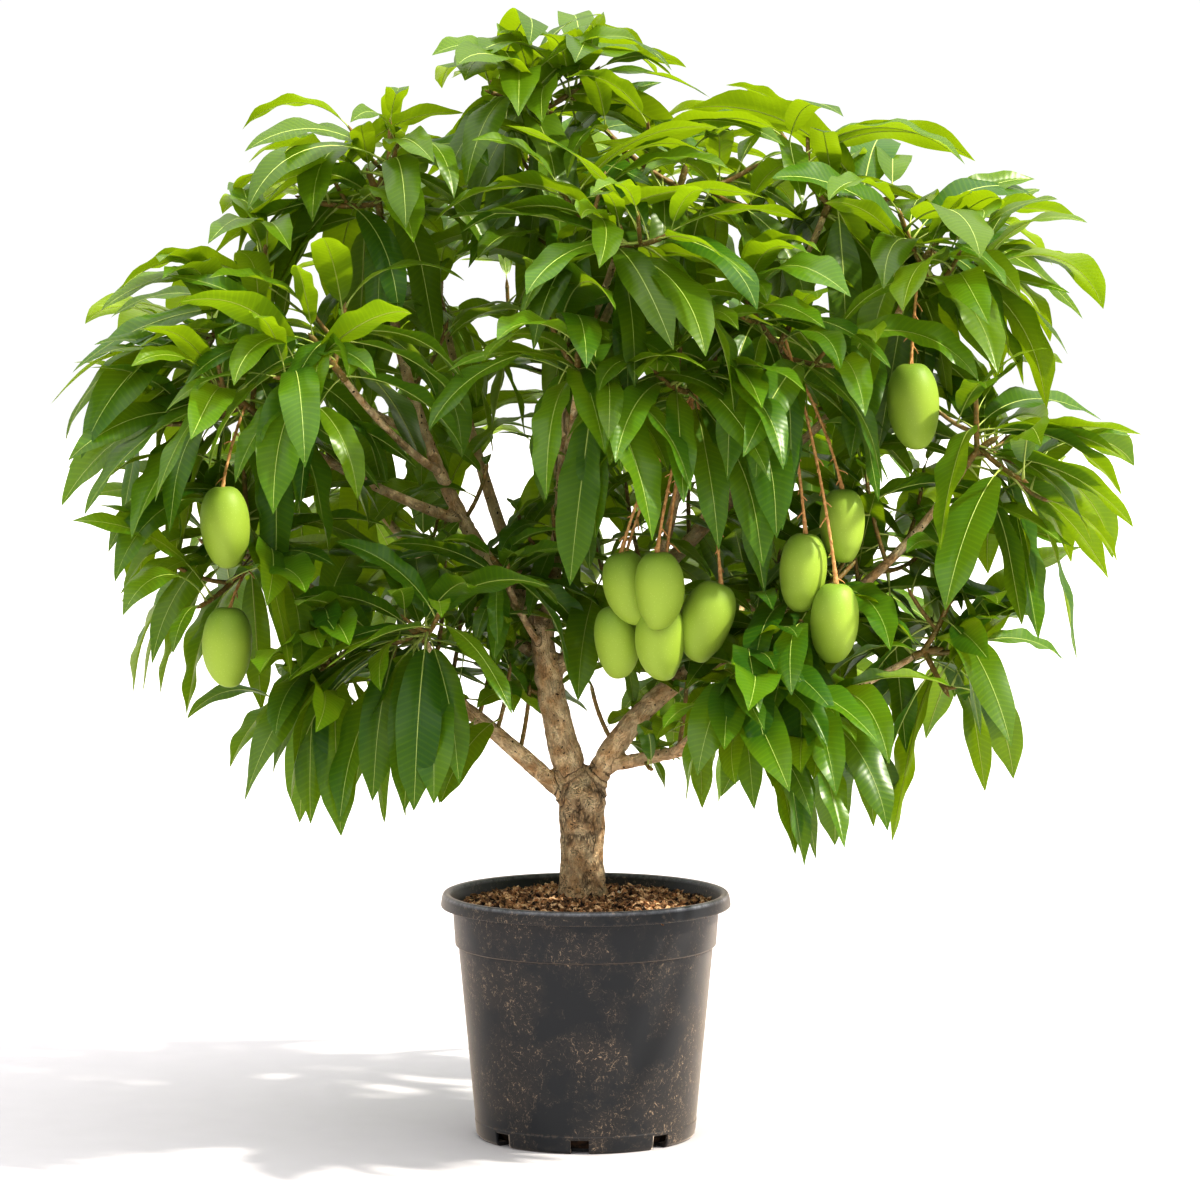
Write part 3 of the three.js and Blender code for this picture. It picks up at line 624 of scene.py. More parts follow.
# %% The limbs' table
TRUNK_FOOT, TRUNK_FORK = (-5, 6, CROWN_HEIGHT + MIX_GAP), (-5, 2, 492)
TRUNK_RADIUS, TRUNK_FLARE, FLARE_HEIGHT, TRUNK_SWELLING = 30, 11, 26, 6
BOUGHS = [  # name, parent, where it leaves its parent, tip, bow, radii of foot and tip
    ("stem_main", "trunk", 0.9, (-65, 0, 745), (-8, 0, 0), (25, 17)),
    ("right_main", "trunk", 0.88, (300, -40, 735), (-36, 0, 42), (20, 9.5)),
    ("left_low", "trunk", 0.88, (-435, -95, 835), (0, 0, 12), (14, 5)),
    ("left_top", "stem_main", 0.97, (-292, -30, 1325), (-42, 0, -40), (13, 5)),
    ("left_back", "stem_main", 0.95, (-205, 190, 1165), (-10, 0, -10), (11, 5)),
    ("leader", "stem_main", 0.9, (-65, 10, 1425), (34, 0, 0), (12, 5)),
    ("right_rise", "stem_main", 0.72, (255, 30, 970), (-4, 12, -12), (14, 8.5)),
    ("centre", "stem_main", 0.86, (-112, -95, 812), (0, 0, -8), (5.5, 4.5)),
    ("left_upper", "left_top", 0.3, (-440, -115, 1035), (0, 0, -14), (8.5, 4.8)),
    ("left_high", "left_top", 0.5, (-462, -60, 1165), (0, 0, -12), (6, 4.5)),
    ("left_mid", "left_top", 0.42, (-335, -215, 1105), (0, 0, -12), (6, 4.5)),
    ("left_hang", "left_low", 0.66, (-350, -120, 705), (0, 0, 12), (6.5, 4.5)),
    ("left_front", "left_low", 0.42, (-225, -175, 735), (0, 0, -8), (6.5, 4.5)),
    ("right_centre", "leader", 0.42, (120, -30, 1345), (-26, 0, -14), (8, 4.8)),
    ("front_centre", "leader", 0.36, (-12, -215, 1090), (0, 0, -14), (7, 4.8)),
    ("front_top", "leader", 0.56, (42, -250, 1275), (0, 0, -18), (6.5, 4.8)),
    ("front_right", "right_rise", 0.5, (150, -205, 1075), (0, 0, -20), (7.5, 4.8)),
    ("right_top", "right_rise", 0.97, (340, -20, 1330), (-14, 0, 0), (7.5, 4.8)),
    ("right_high", "right_rise", 0.97, (462, -105, 1240), (20, 0, -24), (6.5, 4.8)),
    ("right_mid", "right_rise", 0.93, (262, -200, 1120), (0, 0, -14), (6.5, 4.8)),
    ("right_outer", "right_main", 0.97, (540, -75, 975), (10, 0, -24), (8.5, 5)),
    ("right_fork", "right_main", 0.8, (290, -125, 775), (0, 0, -10), (7, 4.8)),
    ("right_low", "right_main", 0.17, (292, -120, 612), (0, 0, -4), (11, 5)),
    ("right_low_front", "right_low", 0.36, (205, -185, 668), (0, 0, -8), (6, 4.5)),
    ("right_low_outer", "right_low", 0.55, (470, -40, 700), (0, 0, -12), (7, 4.5)),
    ("back_left", "stem_main", 0.8, (-350, 345, 930), (0, 0, -22), (10, 5)),
    ("back_centre", "leader", 0.24, (-45, 390, 1060), (0, 0, -22), (9, 5)),
    ("back_top", "leader", 0.6, (40, 250, 1310), (0, 0, -16), (6.5, 4.8)),
    ("back_right", "right_rise", 0.45, (285, 385, 1040), (0, 0, -22), (9, 5)),
    ("back_low", "right_main", 0.42, (240, 345, 745), (0, 0, -18), (8, 5)),
]


def trunk_limb():
    """The trunk's path and the radius at each share of it."""
    foot, fork = np.array(TRUNK_FOOT), np.array(TRUNK_FORK)
    path = Path([foot - unit(fork - foot) * FLARE_HEIGHT / 4, fork])

    def radius(share):
        flare = TRUNK_FLARE * np.exp(-share * path.length / FLARE_HEIGHT)
        return TRUNK_RADIUS + flare + TRUNK_SWELLING * share ** 3
    return path, radius


def bough_limb(parent, at, tip, bow, radii):
    """A bough's path and the radius at each share of it."""
    path = bowed(limbs[parent][0].at(at), tip, bow)
    return path, lambda share: between(*radii, share)


limbs = {"trunk": trunk_limb()}
for name, parent, at, tip, bow, radii in BOUGHS:
    limbs[name] = bough_limb(parent, at, tip, bow, radii)
print("limbs: %d, together %.1f m long" % (len(limbs), sum(path.length for path, _ in limbs.values()) * MM))

# %% [markdown]
# Real limbs have no joints: bark runs from the trunk into each bough, and folds into a ridge in the crotch.
# A voxel remesh gives that for free. The limbs are cast as plain tubes that pass through each other, and the
# remesh wraps them in one skin. Each point of the skin is then moved to its limb's true radius plus a relief:
# fissures that run along the limb, deep on the trunk and faint on young wood.

# %% Tubes
def frames_along(path, shares):
    """Places along a path, with two directions square to it that do not twist."""
    places, tangents = path.at(shares), path.tangent(shares)
    side = np.cross(tangents[0], UP if abs(tangents[0][2]) < 0.9 else [1.0, 0, 0])
    sides = []
    for tangent in tangents:
        side = unit(side - tangent * np.dot(side, tangent))
        sides.append(side)
    sides = np.array(sides)
    return places, sides, np.cross(tangents, sides)


def add_tube(mould, path, radius, sides, rings, start=0.0, end=1.0):
    """A closed tube along a path. Its marks are the point's place in the tube's own straightened frame."""
    shares = np.linspace(start, end, rings)
    places, first, second = frames_along(path, shares)
    turn = np.linspace(0, 2 * np.pi, sides, endpoint=False)
    reach = np.array([radius(share) for share in shares])[:, None, None]
    across = np.cos(turn)[None, :, None] * first[:, None] + np.sin(turn)[None, :, None] * second[:, None]
    points = (places[:, None] + reach * across).reshape(-1, 3)
    level = np.broadcast_to(shares[:, None] * path.length, (rings, sides))
    marks = np.stack([reach[..., 0] * np.cos(turn), reach[..., 0] * np.sin(turn), level], -1).reshape(-1, 3)
    hubs = [[0, 0, shares[0] * path.length], [0, 0, shares[-1] * path.length]]
    last = rings * sides
    foot = fan_faces(last, range(sides), turned=True)
    tip = fan_faces(last + 1, range(last - sides, last))
    mould.add(
        np.concatenate([points, [places[0], places[-1]]]),
        [grid_faces(rings, sides, closed=True), np.concatenate([foot, tip])],
        np.concatenate([marks, hubs]),
    )


print("limbs become tubes, each along its own path")

# %% [markdown]
# The trunk's flat top would leave a ledge between the boughs, so a ball is set into the fork before the limbs
# are wrapped. The voxels are a tenth of the trunk's radius, which keeps the skin light.

# %% Wrap the limbs in one skin
VOXEL = 2.8
SKIN_ROUNDS, SKIN_FACTOR = 4, 0.5  # how often and how far the remeshed skin is smoothed
LIMB_SIDES, LIMB_RING_STEP = 20, 12
BALL_SIDES, BALL_RINGS, BALL_END = 24, 15, 0.01


def skin_of_limbs():
    """All limbs and the ball in the fork, under one skin."""
    mould = Mould()
    for path, radius in limbs.values():
        add_tube(mould, path, radius, LIMB_SIDES, max(6, int(path.length / LIMB_RING_STEP)))
    fork, girth = limbs["trunk"][0].at(1), limbs["trunk"][1](1)

    def ball(share):
        return girth * math.sqrt(max(1 - (2 * share - 1) ** 2, 0.0))
    upright = bowed(fork - UP * girth, fork + UP * girth, (0, 0, 0))
    add_tube(mould, upright, ball, BALL_SIDES, BALL_RINGS, BALL_END, 1 - BALL_END)
    skin = mould.cast("bark")
    remesh = skin.modifiers.new("remesh", "REMESH")
    remesh.mode, remesh.voxel_size = "VOXEL", VOXEL * MM
    smooth = skin.modifiers.new("smooth", "SMOOTH")
    smooth.iterations, smooth.factor = SKIN_ROUNDS, SKIN_FACTOR
    return applied(skin)


bark_skin = skin_of_limbs()
print("skin points:", len(bark_skin.data.vertices))

# %% [markdown]
# To know which limb a point of the skin belongs to, every limb is compared with it, and the nearest is kept.
# How far out of the next limb it lies tells how deep in a crotch it is. There the skin keeps its remeshed
# shape and gains a ridge. Elsewhere it takes the limb's exact radius.

# %% Find each point's limb
FAR = 1e9
NEARBY = 60  # how far round a limb its points are looked for
LIMB_STEP = 5


def limb_frames(points):
    """Per point: how far out of the next limb it is, its own limb's middle, its place on it, and radius."""
    nearest, second = np.full(len(points), FAR), np.full(len(points), FAR)
    centre, local, girth = points.copy(), np.zeros_like(points), np.zeros(len(points))
    from_end = np.zeros(len(points))
    for path, radius in limbs.values():
        shares = np.linspace(0, 1, max(8, int(path.length / LIMB_STEP)))
        places, first, other = frames_along(path, shares)
        around = (points > places.min(0) - NEARBY) & (points < places.max(0) + NEARBY)
        close = np.nonzero(np.all(around, axis=1))[0]
        k = np.argmin(((points[close, None] - places[None]) ** 2).sum(-1), axis=1)
        offset = points[close] - places[k]
        along = np.cross(first[k], other[k])
        slip = (offset * along).sum(1)
        offset -= slip[:, None] * along
        beyond = np.maximum(np.abs(slip) - path.length / len(shares), 0)
        out = np.hypot(np.linalg.norm(offset, axis=1), beyond) - radius(shares[k])
        better = out < nearest[close]
        second[close] = np.where(better, nearest[close], np.minimum(second[close], out))
        won, k, offset = close[better], k[better], offset[better]
        nearest[won] = out[better]
        centre[won] = points[won] - offset
        girth[won] = radius(shares[k])
        level = shares[k] * path.length + slip[better]
        from_end[won] = np.minimum(level, path.length - level)
        local[won] = np.stack([(offset * first[k]).sum(1), (offset * other[k]).sum(1), level], -1)
    return second, centre, local, girth, from_end


print("limbs to compare:", len(limbs))

# %% [markdown]
# Bark splits along the limb, because the wood grows round and not along. Ridged noise, drawn out along each
# limb's own frame, gives fissures of that kind. In a crotch the bark of both limbs is pushed up into a ridge
# with a hollow beside it. Only crotches near the trunk's fork are old enough for the folds that the finish
# draws there as lines of painted shade.

# %% Give the skin its relief
FISSURE_MM, FISSURE_STRETCH = 7, 4.5  # fissures this far apart, and this much longer than wide
FINER, ELSEWHERE = 2.3, Vector((7, 3, 5))  # the second noise: how much finer, and from another place
STEEPER, BROAD_SHARE, FINE_SHARE = 2.2, 0.7, 0.3
RELIEF_SHARE, LARGEST_RELIEF, RELIEF_MIDDLE = 0.085, 3.0, 0.55
CROTCH_WIDTH, END_WIDTH = 7, 1.3
RIDGE, HOLLOW = (1.6, 0, 2.5), (1.8, 7, 2.4)  # height or depth, place and width, out from the next limb
SWELL, SWELL_MM, SWELL_GIRTH = 1.2, 45, 25
RIDGE_GIRTH = 20
FOLDED_FROM_FORK = (55, 85)  # how near to the fork crotches are fully folded, and not at all
WIDEST_CROTCH = 50
LEAST_REACH, PAST_END = 0.1, 2  # points further than this past a limb's end stay as they are


def fissures(place):
    """Ridged noise from 0 to 1 in a limb's own frame: 0 in a fissure, 1 on the ridge beside it."""
    across = place[0] / FISSURE_MM, place[1] / FISSURE_MM
    spot = Vector((*across, place[2] / (FISSURE_MM * FISSURE_STRETCH)))
    broad = abs(noise.noise(spot))
    fine = abs(noise.noise(spot * FINER + ELSEWHERE))
    return min(1.0, STEEPER * broad) * BROAD_SHARE + min(1.0, STEEPER * fine) * FINE_SHARE


def swollen(gap, height, middle, width):
    """A rounded ridge at one distance from the next limb."""
    return height * np.exp(-((gap - middle) / width) ** 2)


def carve(skin):
    """Moves the skin's points to their limbs' radii, with fissures and crotch ridges, and marks them."""
    count = len(skin.data.vertices)
    points = np.empty(count * 3)
    skin.data.vertices.foreach_get("co", points)
    points = points.reshape(-1, 3) / MM
    second, centre, local, girth, from_end = limb_frames(points)
    reach = np.linalg.norm(points - centre, axis=1)
    gap = second - (reach - girth)
    depth = np.minimum(RELIEF_SHARE * girth, LARGEST_RELIEF)
    relief = depth * (np.array([fissures(place) for place in local]) - RELIEF_MIDDLE)
    ridge = swollen(gap, *RIDGE) - swollen(gap, *HOLLOW)
    bumpy = np.array([noise.noise(Vector(point / SWELL_MM)) for point in points])
    swell = SWELL * bumpy * np.minimum(girth / SWELL_GIRTH, 1)
    out_of_end = np.clip(from_end / (END_WIDTH * girth), 0, 1)
    open_bark = np.clip(gap / CROTCH_WIDTH, 0, 1) ** 2 * out_of_end
    wanted = between(reach, girth + swell, open_bark) + relief + ridge * np.minimum(girth / RIDGE_GIRTH, 1)
    wanted = np.where(from_end > -PAST_END, wanted, reach)
    points = centre + (points - centre) * (wanted / np.maximum(reach, LEAST_REACH))[:, None]
    from_fork = np.linalg.norm(points - TRUNK_FORK, axis=1)
    unfolded = WIDEST_CROTCH * np.interp(from_fork, FOLDED_FROM_FORK, (0, 1))
    crotch = np.clip(gap + unfolded, 0, WIDEST_CROTCH)
    skin.data.vertices.foreach_set("co", (points * MM).ravel())
    skin.data.attributes.new("marks", "FLOAT_VECTOR", "POINT").data.foreach_set("vector", local.ravel())
    skin.data.attributes.new("crotch", "FLOAT", "POINT").data.foreach_set("value", crotch)
    skin.data.shade_smooth()
    skin.data.update()
    print("bark reaches from %.1f to %.1f mm out of its limbs' middles" % (wanted.min(), wanted.max()))


carve(bark_skin)

# %% [markdown]
# Bark of a young mango tree is grey-brown cork over a warmer layer. Low on the trunk it is wrinkled into
# fissures: some patches crack along the limb, and others wrinkle across it. The shade in the fissures, in the
# wrinkles and in the folds of the crotches by the fork is painted into the colour as a dark brown. Higher up
# it is smoother, with darker mottles and small dark scars. It has no gloss. The pattern is read from the
# marks, in millimetres of each limb's own frame.

# %% Grey-brown bark
CRACK_MM, CRACK_STRETCH, CRACK_WIDTH = 13, 2.2, 0.17
WOBBLE_MM, WOBBLE = 6, (11, 11, 11)  # how a crack wanders
GRAIN_MM, MOTTLE_MM, SCAR_MM = 2.4, 24, 5
WRINKLE_MM, WRINKLE_SQUASH, PATCH_MM = 19, 2.4, 30
FOLD_DEPTHS, FOLD_WIDTH, FOLD_WANDER = (2.5, 9), 1.7, 5.0  # how far out of the next limb the bark folds; the folds are drawn in painted shade
SMOOTH_GIRTH, ROUGH_GIRTH = 18, 34  # radii of limbs whose bark is smooth and fully cracked


def bark_cracks(tree, marks):
    """Upright cracks as the bark's relief, 0 in a crack and 1 on a plate, and the noise they wander by."""
    drawn = node(tree, "Mapping", {"Vector": marks, "Scale": (1, 1, 1 / CRACK_STRETCH)})
    wobble = node(tree, "TexNoise", {"Vector": drawn, "Scale": 1 / WOBBLE_MM, "Detail": 3.0}).outputs["Color"]
    wobbled = node(tree, "VectorMath", {0: wobble, 1: WOBBLE, 2: drawn}, operation="MULTIPLY_ADD")
    plates = node(tree, "TexVoronoi", {
        "Vector": wobbled, "Scale": 1 / CRACK_MM,
    }, feature="DISTANCE_TO_EDGE")
    plate = node(tree, "MapRange", {"Value": plates, "From Max": CRACK_WIDTH})
    grain = node(tree, "TexNoise", {
        "Vector": drawn, "Scale": 1 / GRAIN_MM, "Detail": 5.0, "Roughness": 0.7,
    })
    grained = node(tree, "MapRange", {"Value": grain, "From Min": 0.34, "From Max": 0.56})
    return product(tree, plate, grained), wobble


def bark_wrinkles(tree, marks, patches):
    """Wrinkles across the limb, in the patches that have them."""
    across = node(tree, "MapRange", {
        "Value": patches, "From Min": 0.4, "From Max": 0.6, "To Min": 1.0, "To Max": 0.1,
    })
    squashed = node(tree, "Mapping", {"Vector": marks, "Scale": (1, 1, WRINKLE_SQUASH)})
    folded = node(tree, "TexNoise", {
        "Vector": squashed, "Scale": 1 / WRINKLE_MM, "Detail": 4.0, "Distortion": 0.6,
    })
    wrinkles = largest(tree, near(tree, folded, 0.5, 0.034), near(tree, folded, 0.62, 0.03))
    return product(tree, wrinkles, across)


def grey_brown_bark(tree):
    marks = node(tree, "Attribute", attribute_name="marks").outputs["Vector"]
    flat = node(tree, "VectorMath", {0: marks, 1: (1, 1, 0)}, operation="MULTIPLY")
    girth = node(tree, "VectorMath", {0: flat}, operation="LENGTH")
    aged = node(tree, "MapRange", {
        "Value": girth, "From Min": SMOOTH_GIRTH, "From Max": ROUGH_GIRTH, "To Min": 0.3, "To Max": 1.0,
    })
    relief, wobble = bark_cracks(tree, marks)
    mottle = node(tree, "TexNoise", {
        "Vector": marks, "Scale": 1 / MOTTLE_MM, "Detail": 4.0, "Roughness": 0.6,
    })
    mottled = node(tree, "MapRange", {"Value": mottle, "From Min": 0.36, "From Max": 0.64})
    patches = node(tree, "TexNoise", {"Vector": marks, "Scale": 1 / PATCH_MM, "Detail": 2.0})
    upright = node(tree, "MapRange", {
        "Value": patches, "From Min": 0.42, "From Max": 0.58, "To Min": 0.15,
    })
    wrinkles = bark_wrinkles(tree, marks, patches)
    scars = node(tree, "TexNoise", {"Vector": marks, "Scale": 1 / SCAR_MM, "Detail": 1.0})
    scarred = node(tree, "MapRange", {"Value": scars, "From Min": 0.69, "From Max": 0.74})
    cork, warm, shade = linear("#d6ab7b"), linear("#ffe6bd"), linear("#37250f")
    layered = node(tree, "Mix", {FACTOR: mottled, COLOUR_A: cork, COLOUR_B: warm}, **MIX_COLOURS)
    sunk = node(tree, "Math", {0: 1.0, 1: relief}, operation="SUBTRACT")
    crotch = node(tree, "Attribute", attribute_name="crotch").outputs["Fac"]
    crotch = node(tree, "Math", {0: wobble, 1: FOLD_WANDER, 2: crotch}, operation="MULTIPLY_ADD")
    folds = [near(tree, crotch, depth, FOLD_WIDTH) for depth in FOLD_DEPTHS]
    cracks = largest(tree, product(tree, sunk, upright), wrinkles)
    crack = largest(tree, product(tree, cracks, aged), scarred, *folds)
    # Painted shade: the fissures, wrinkles and crotch folds are mixed toward the dark shade colour. The scars
    # are dark in their own colour.
    coloured = node(tree, "Mix", {FACTOR: crack, COLOUR_A: layered, COLOUR_B: shade}, **MIX_COLOURS)
    unfolded = node(tree, "Math", {0: 1.0, 1: largest(tree, wrinkles, *folds)}, operation="SUBTRACT")
    height = product(tree, relief, unfolded)
    bumps = node(tree, "Bump", {"Height": height, "Strength": 1.0, "Distance": 2.4 * MM})
    return node(tree, "BsdfPrincipled", {
        "Base Color": coloured, "Normal": bumps, "Roughness": 0.8, "IOR": 1.45,
    })


bark_skin.data.materials.clear()
bark_skin.data.materials.append(material("grey_brown_bark", grey_brown_bark))
dress(bark_skin, "bark", "trunk", *("bough_" + name for name, *_ in BOUGHS))

# %% [markdown]
# ## The shoots
#
# Each mass of foliage starts at a bough's tip. One stem bends from the bough's own direction to a heading
# away from the middle of the crown, and side shoots leave it in a fan and turn up. That much is the frame's
# rule. Here each side shoot also bears a finer twig, so that the crown fills out within the same reach.

# %% The masses' table
CROWN_MIDDLE = np.array([0, 30, 660])
MASSES = [  # bough, length of stem, side shoots, their length, the way the first points, size of leaves
    ("left_top", 70, 3, 120, 260, 1),
    ("left_back", 90, 2, 130, 30, 1),
    ("leader", 115, 3, 110, 350, 1),
    ("left_low", 85, 3, 125, 185, 1),
    ("centre", 50, 1, 60, 310, 0.6),
    ("left_upper", 115, 3, 120, 110, 1),
    ("left_high", 70, 2, 120, 250, 1),
    ("left_mid", 90, 2, 95, 100, 1),
    ("left_hang", 50, 2, 90, 50, 1),
    ("left_front", 40, 2, 100, 20, 1),
    ("right_centre", 60, 2, 125, 100, 1),
    ("front_centre", 70, 2, 110, 300, 1),
    ("front_top", 50, 2, 110, 135, 1),
    ("front_right", 30, 2, 110, 15, 1),
    ("right_top", 50, 2, 120, 120, 1),
    ("right_high", 50, 3, 120, 255, 1),
    ("right_mid", 80, 2, 110, 300, 1),
    ("right_outer", 60, 3, 105, 0, 1),
    ("right_fork", 30, 2, 115, 200, 1),
    ("right_low", 60, 2, 80, 135, 1),
    ("right_low_front", 50, 2, 60, 80, 1),
    ("right_low_outer", 40, 3, 140, 120, 1),
    ("back_left", 70, 3, 160, 220, 1),
    ("back_centre", 90, 3, 160, 250, 1),
    ("back_top", 80, 3, 145, 20, 1),
    ("back_right", 70, 3, 135, 175, 1),
    ("back_low", 70, 3, 160, 290, 1),
]
FRUITS = [  # the bough whose stem bears it, its middle, size, and the swing of its beak in degrees
    ("left_upper", (-502, -225, 900), 1.03, -4),
    ("left_low", (-503, -195, 730), 1.0, 3),
    ("front_right", (60, -225, 814), 0.94, -12),
    ("front_right", (104, -265, 815), 0.96, -5),
    ("front_right", (168, -225, 769), 1.02, 22),
    ("front_right", (104, -232, 742), 0.98, 2),
    ("front_right", (45, -188, 736), 0.92, -8),
    ("right_mid", (304, -222, 837), 0.98, 4),
    ("right_mid", (360, -185, 900), 0.92, 2),
    ("right_mid", (347, -250, 768), 1.0, 3),
    ("right_high", (461, -150, 1066), 1.08, -3),
    ("back_centre", (-70, 455, 850), 1.0, 4),
    ("back_centre", (-5, 470, 815), 0.95, -6),
    ("back_right", (350, 430, 800), 1.02, 3),
]
FRUIT_LENGTH, FRUIT_RADIUS = 115, 37
LONG_LEAVED = {  # masses whose leaves are longer than the table says, and by which factor
    "leader": 1.14, "right_high": 1.14, "left_high": 1.12, "right_outer": 1.06, "right_top": 1.06,
}
print("masses:", len(MASSES), "fruits:", len(FRUITS))

# %% [markdown]
# Side shoots leave the middle of a stem in turn, one after the other round it, and a finer twig leaves each
# near its own middle. Fruit stalks leave the stem too, and end just inside the fruit, so that no gap shows.

# %% Branch the shoots
FAN, UPTURN = math.radians(62), 0.14  # how far side shoots lean out of the heading, and how far they turn up
SIDES_FROM, SIDE_LENGTHS = (0.35, 0.7), (0.88, 1.12)
TWIG_FROM, TWIG_LEAN, TWIG_LENGTHS = (0.35, 0.5), math.radians(58), (0.5, 0.7)
STALK_FROM, STALK_SUNK, STALK_BOW = (0.45, 0.95), 10, 0.12


def leaning(axis, lean, turn):
    """A direction that leans from an axis by one angle and is turned round it by another."""
    first = unit(np.cross([1.0, 0, 0] if abs(axis[2]) > 0.95 else UP, axis))
    second = np.cross(axis, first)
    return axis * math.cos(lean) + math.sin(lean) * (first * math.cos(turn) + second * math.sin(turn))


def shoots_of(number, bough, lead, shoots, spread, turn):
    """The stem and the side shoots of a mass."""
    limb = limbs[bough][0]
    tangent = limb.tangent(1)
    foot = limb.at(1)
    heading = unit(foot - CROWN_MIDDLE)
    bend = foot + tangent * lead / 2
    stem = curve(foot, bend, bend + heading * lead / 2)
    sides = []
    for k in range(shoots):
        start = stem.at(between(*SIDES_FROM, k / shoots))
        length = spread * between(*SIDE_LENGTHS, chance(number, k, 1))
        direction = leaning(heading, FAN, math.radians(turn + 360 * k / shoots))
        end = start + direction * length
        sides.append(curve(start, (start + end) / 2 - UP * UPTURN * length, end))
    return [stem] + sides


def fine_twig(number, k, shoot):
    """A finer twig that leaves a side shoot near its middle."""
    start = shoot.at(between(*TWIG_FROM, chance(number, k, 2)))
    direction = leaning(shoot.tangent(0.5), TWIG_LEAN, 2 * math.pi * chance(number, k, 3))
    length = shoot.length * between(*TWIG_LENGTHS, chance(number, k, 4))
    end = start + direction * length
    return curve(start, (start + end) / 2 - UP * UPTURN * length, end)


def fruit_top(middle, size, lean):
    """Where the stalk meets a fruit."""
    lean = math.radians(lean)
    return np.array(middle) + np.array([math.sin(lean), 0, math.cos(lean)]) * FRUIT_LENGTH / 2 * size


def stalk(stem, share, top):
    """A stalk's path, from its stem to just inside the fruit."""
    start = stem.at(share)
    aside = (top - start) * [1, 1, 0]
    return bowed(start, top - UP * STALK_SUNK, aside * STALK_BOW)


masses = []
for number, (bough, lead, shoots, spread, turn, leaf_size) in enumerate(MASSES):
    paths = shoots_of(number, bough, lead, shoots, spread, turn)
    own = [fruit for fruit in FRUITS if fruit[0] == bough]
    masses.append({
        "bough": bough,
        "shoots": paths,
        "twigs": [fine_twig(number, k, shoot) for k, shoot in enumerate(paths[1:])],
        "fruits": own,
        "stalks": [
            stalk(paths[0], between(*STALK_FROM, k / len(own)), fruit_top(*fruit[1:]))
            for k, fruit in enumerate(own)
        ],
        "leaf_size": leaf_size * LONG_LEAVED.get(bough, 1),
    })
print("shoots:", sum(len(mass["shoots"]) for mass in masses))
print("finer twigs:", sum(len(mass["twigs"]) for mass in masses))

# %% [markdown]
# ## Room for each leaf
#
# A leaf is kept only where it stays in its own mass's space. The space is found as the frame finds it: a set
# of points stands for each mass, and a leaf must lie nearer to its own points than to others, give or take a
# little, because neighbours do mingle.

# %% Share out the space
SITE_STEP, SITE_DROPS, SPACE_OVERLAP = 45, (70, 140), 60


def sites_of(mass):
    """Points that stand for a mass: along its shoots and stalks, under its whorls and in its fruit."""
    paths = mass["shoots"] + mass["stalks"]
    along = [path.at(np.linspace(0, 1, math.ceil(path.length / SITE_STEP) + 1)) for path in paths]
    below = [shoot.at(1) - UP * drop for shoot in mass["shoots"] for drop in SITE_DROPS]
    return np.concatenate(along + [np.array(below + [fruit[1] for fruit in mass["fruits"]])])


site_points = [sites_of(mass) for mass in masses]
site_owner = np.concatenate([np.full(len(points), number) for number, points in enumerate(site_points)])
site_points = np.concatenate(site_points)


def in_own_space(points, number):
    apart = np.linalg.norm(points[:, None] - site_points[None], axis=-1)
    own = np.min(np.where(site_owner == number, apart, FAR), axis=1)
    other = np.min(np.where(site_owner == number, FAR, apart), axis=1)
    return bool(np.all(other > own - SPACE_OVERLAP))


def inside_frame(points):
    low, high = np.array(cad_box) / MM
    return bool(np.all(points > low) and np.all(points < high))


print("points that stand for the masses:", len(site_points))

# %% [markdown]
# A leaf also keeps clear of wood, pot and fruit. Wood is looked up in a tree of points, which answers in
# microseconds. Each fruit keeps a lane open on its outer side as well, as a picker would leave it.

# %% Keep clear of wood, pot and fruit
WOOD_STEP, WOOD_GAP, FRUIT_GAP, FRUIT_LANE = 8, 3, 18, 340
POT_GAPS = (10, 5)  # out from the rim, and above it

wood = []
for path, radius in limbs.values():
    for share in np.linspace(0, 1, int(path.length / WOOD_STEP) + 2):
        wood.append((path.at(share), radius(share)))
wood_tree = kdtree.KDTree(len(wood))
for index, (place, _) in enumerate(wood):
    wood_tree.insert(place, index)
wood_tree.balance()
fruit_middles = np.array([fruit[1] for fruit in FRUITS], float)
fruit_sizes = np.array([fruit[2] for fruit in FRUITS])


def clear_of_wood(points):
    for point in points:
        _, index, distance = wood_tree.find(point)
        if distance < wood[index][1] + WOOD_GAP:
            return False
    return True


def clear_of_pot(points):
    over_pot = np.hypot(points[:, 0], points[:, 1]) < RIM_RADIUS + POT_GAPS[0]
    return bool(np.all(points[over_pot, 2] > POT_HEIGHT + POT_GAPS[1]))


def clear_of_fruit(points):
    away = points[:, None] - fruit_middles[None]
    outward = away[..., 1] * np.sign(fruit_middles[:, 1])
    lane = outward - np.clip(outward, 0, FRUIT_LANE)
    width = (FRUIT_RADIUS + FRUIT_GAP) * fruit_sizes
    height = (FRUIT_LENGTH / 2 + FRUIT_GAP) * fruit_sizes
    inside = (away[..., 0] / width) ** 2 + (lane / width) ** 2 + (away[..., 2] / height) ** 2 < 1
    return not inside.any()


print("points of wood:", len(wood))

# %% [markdown]
# Seen from the camera, the crown has an outline of lobes and notches, and small gaps where the sky shows.
# Both are lists of places on the upright plane through the trunk, so a leaf is first carried onto that plane.

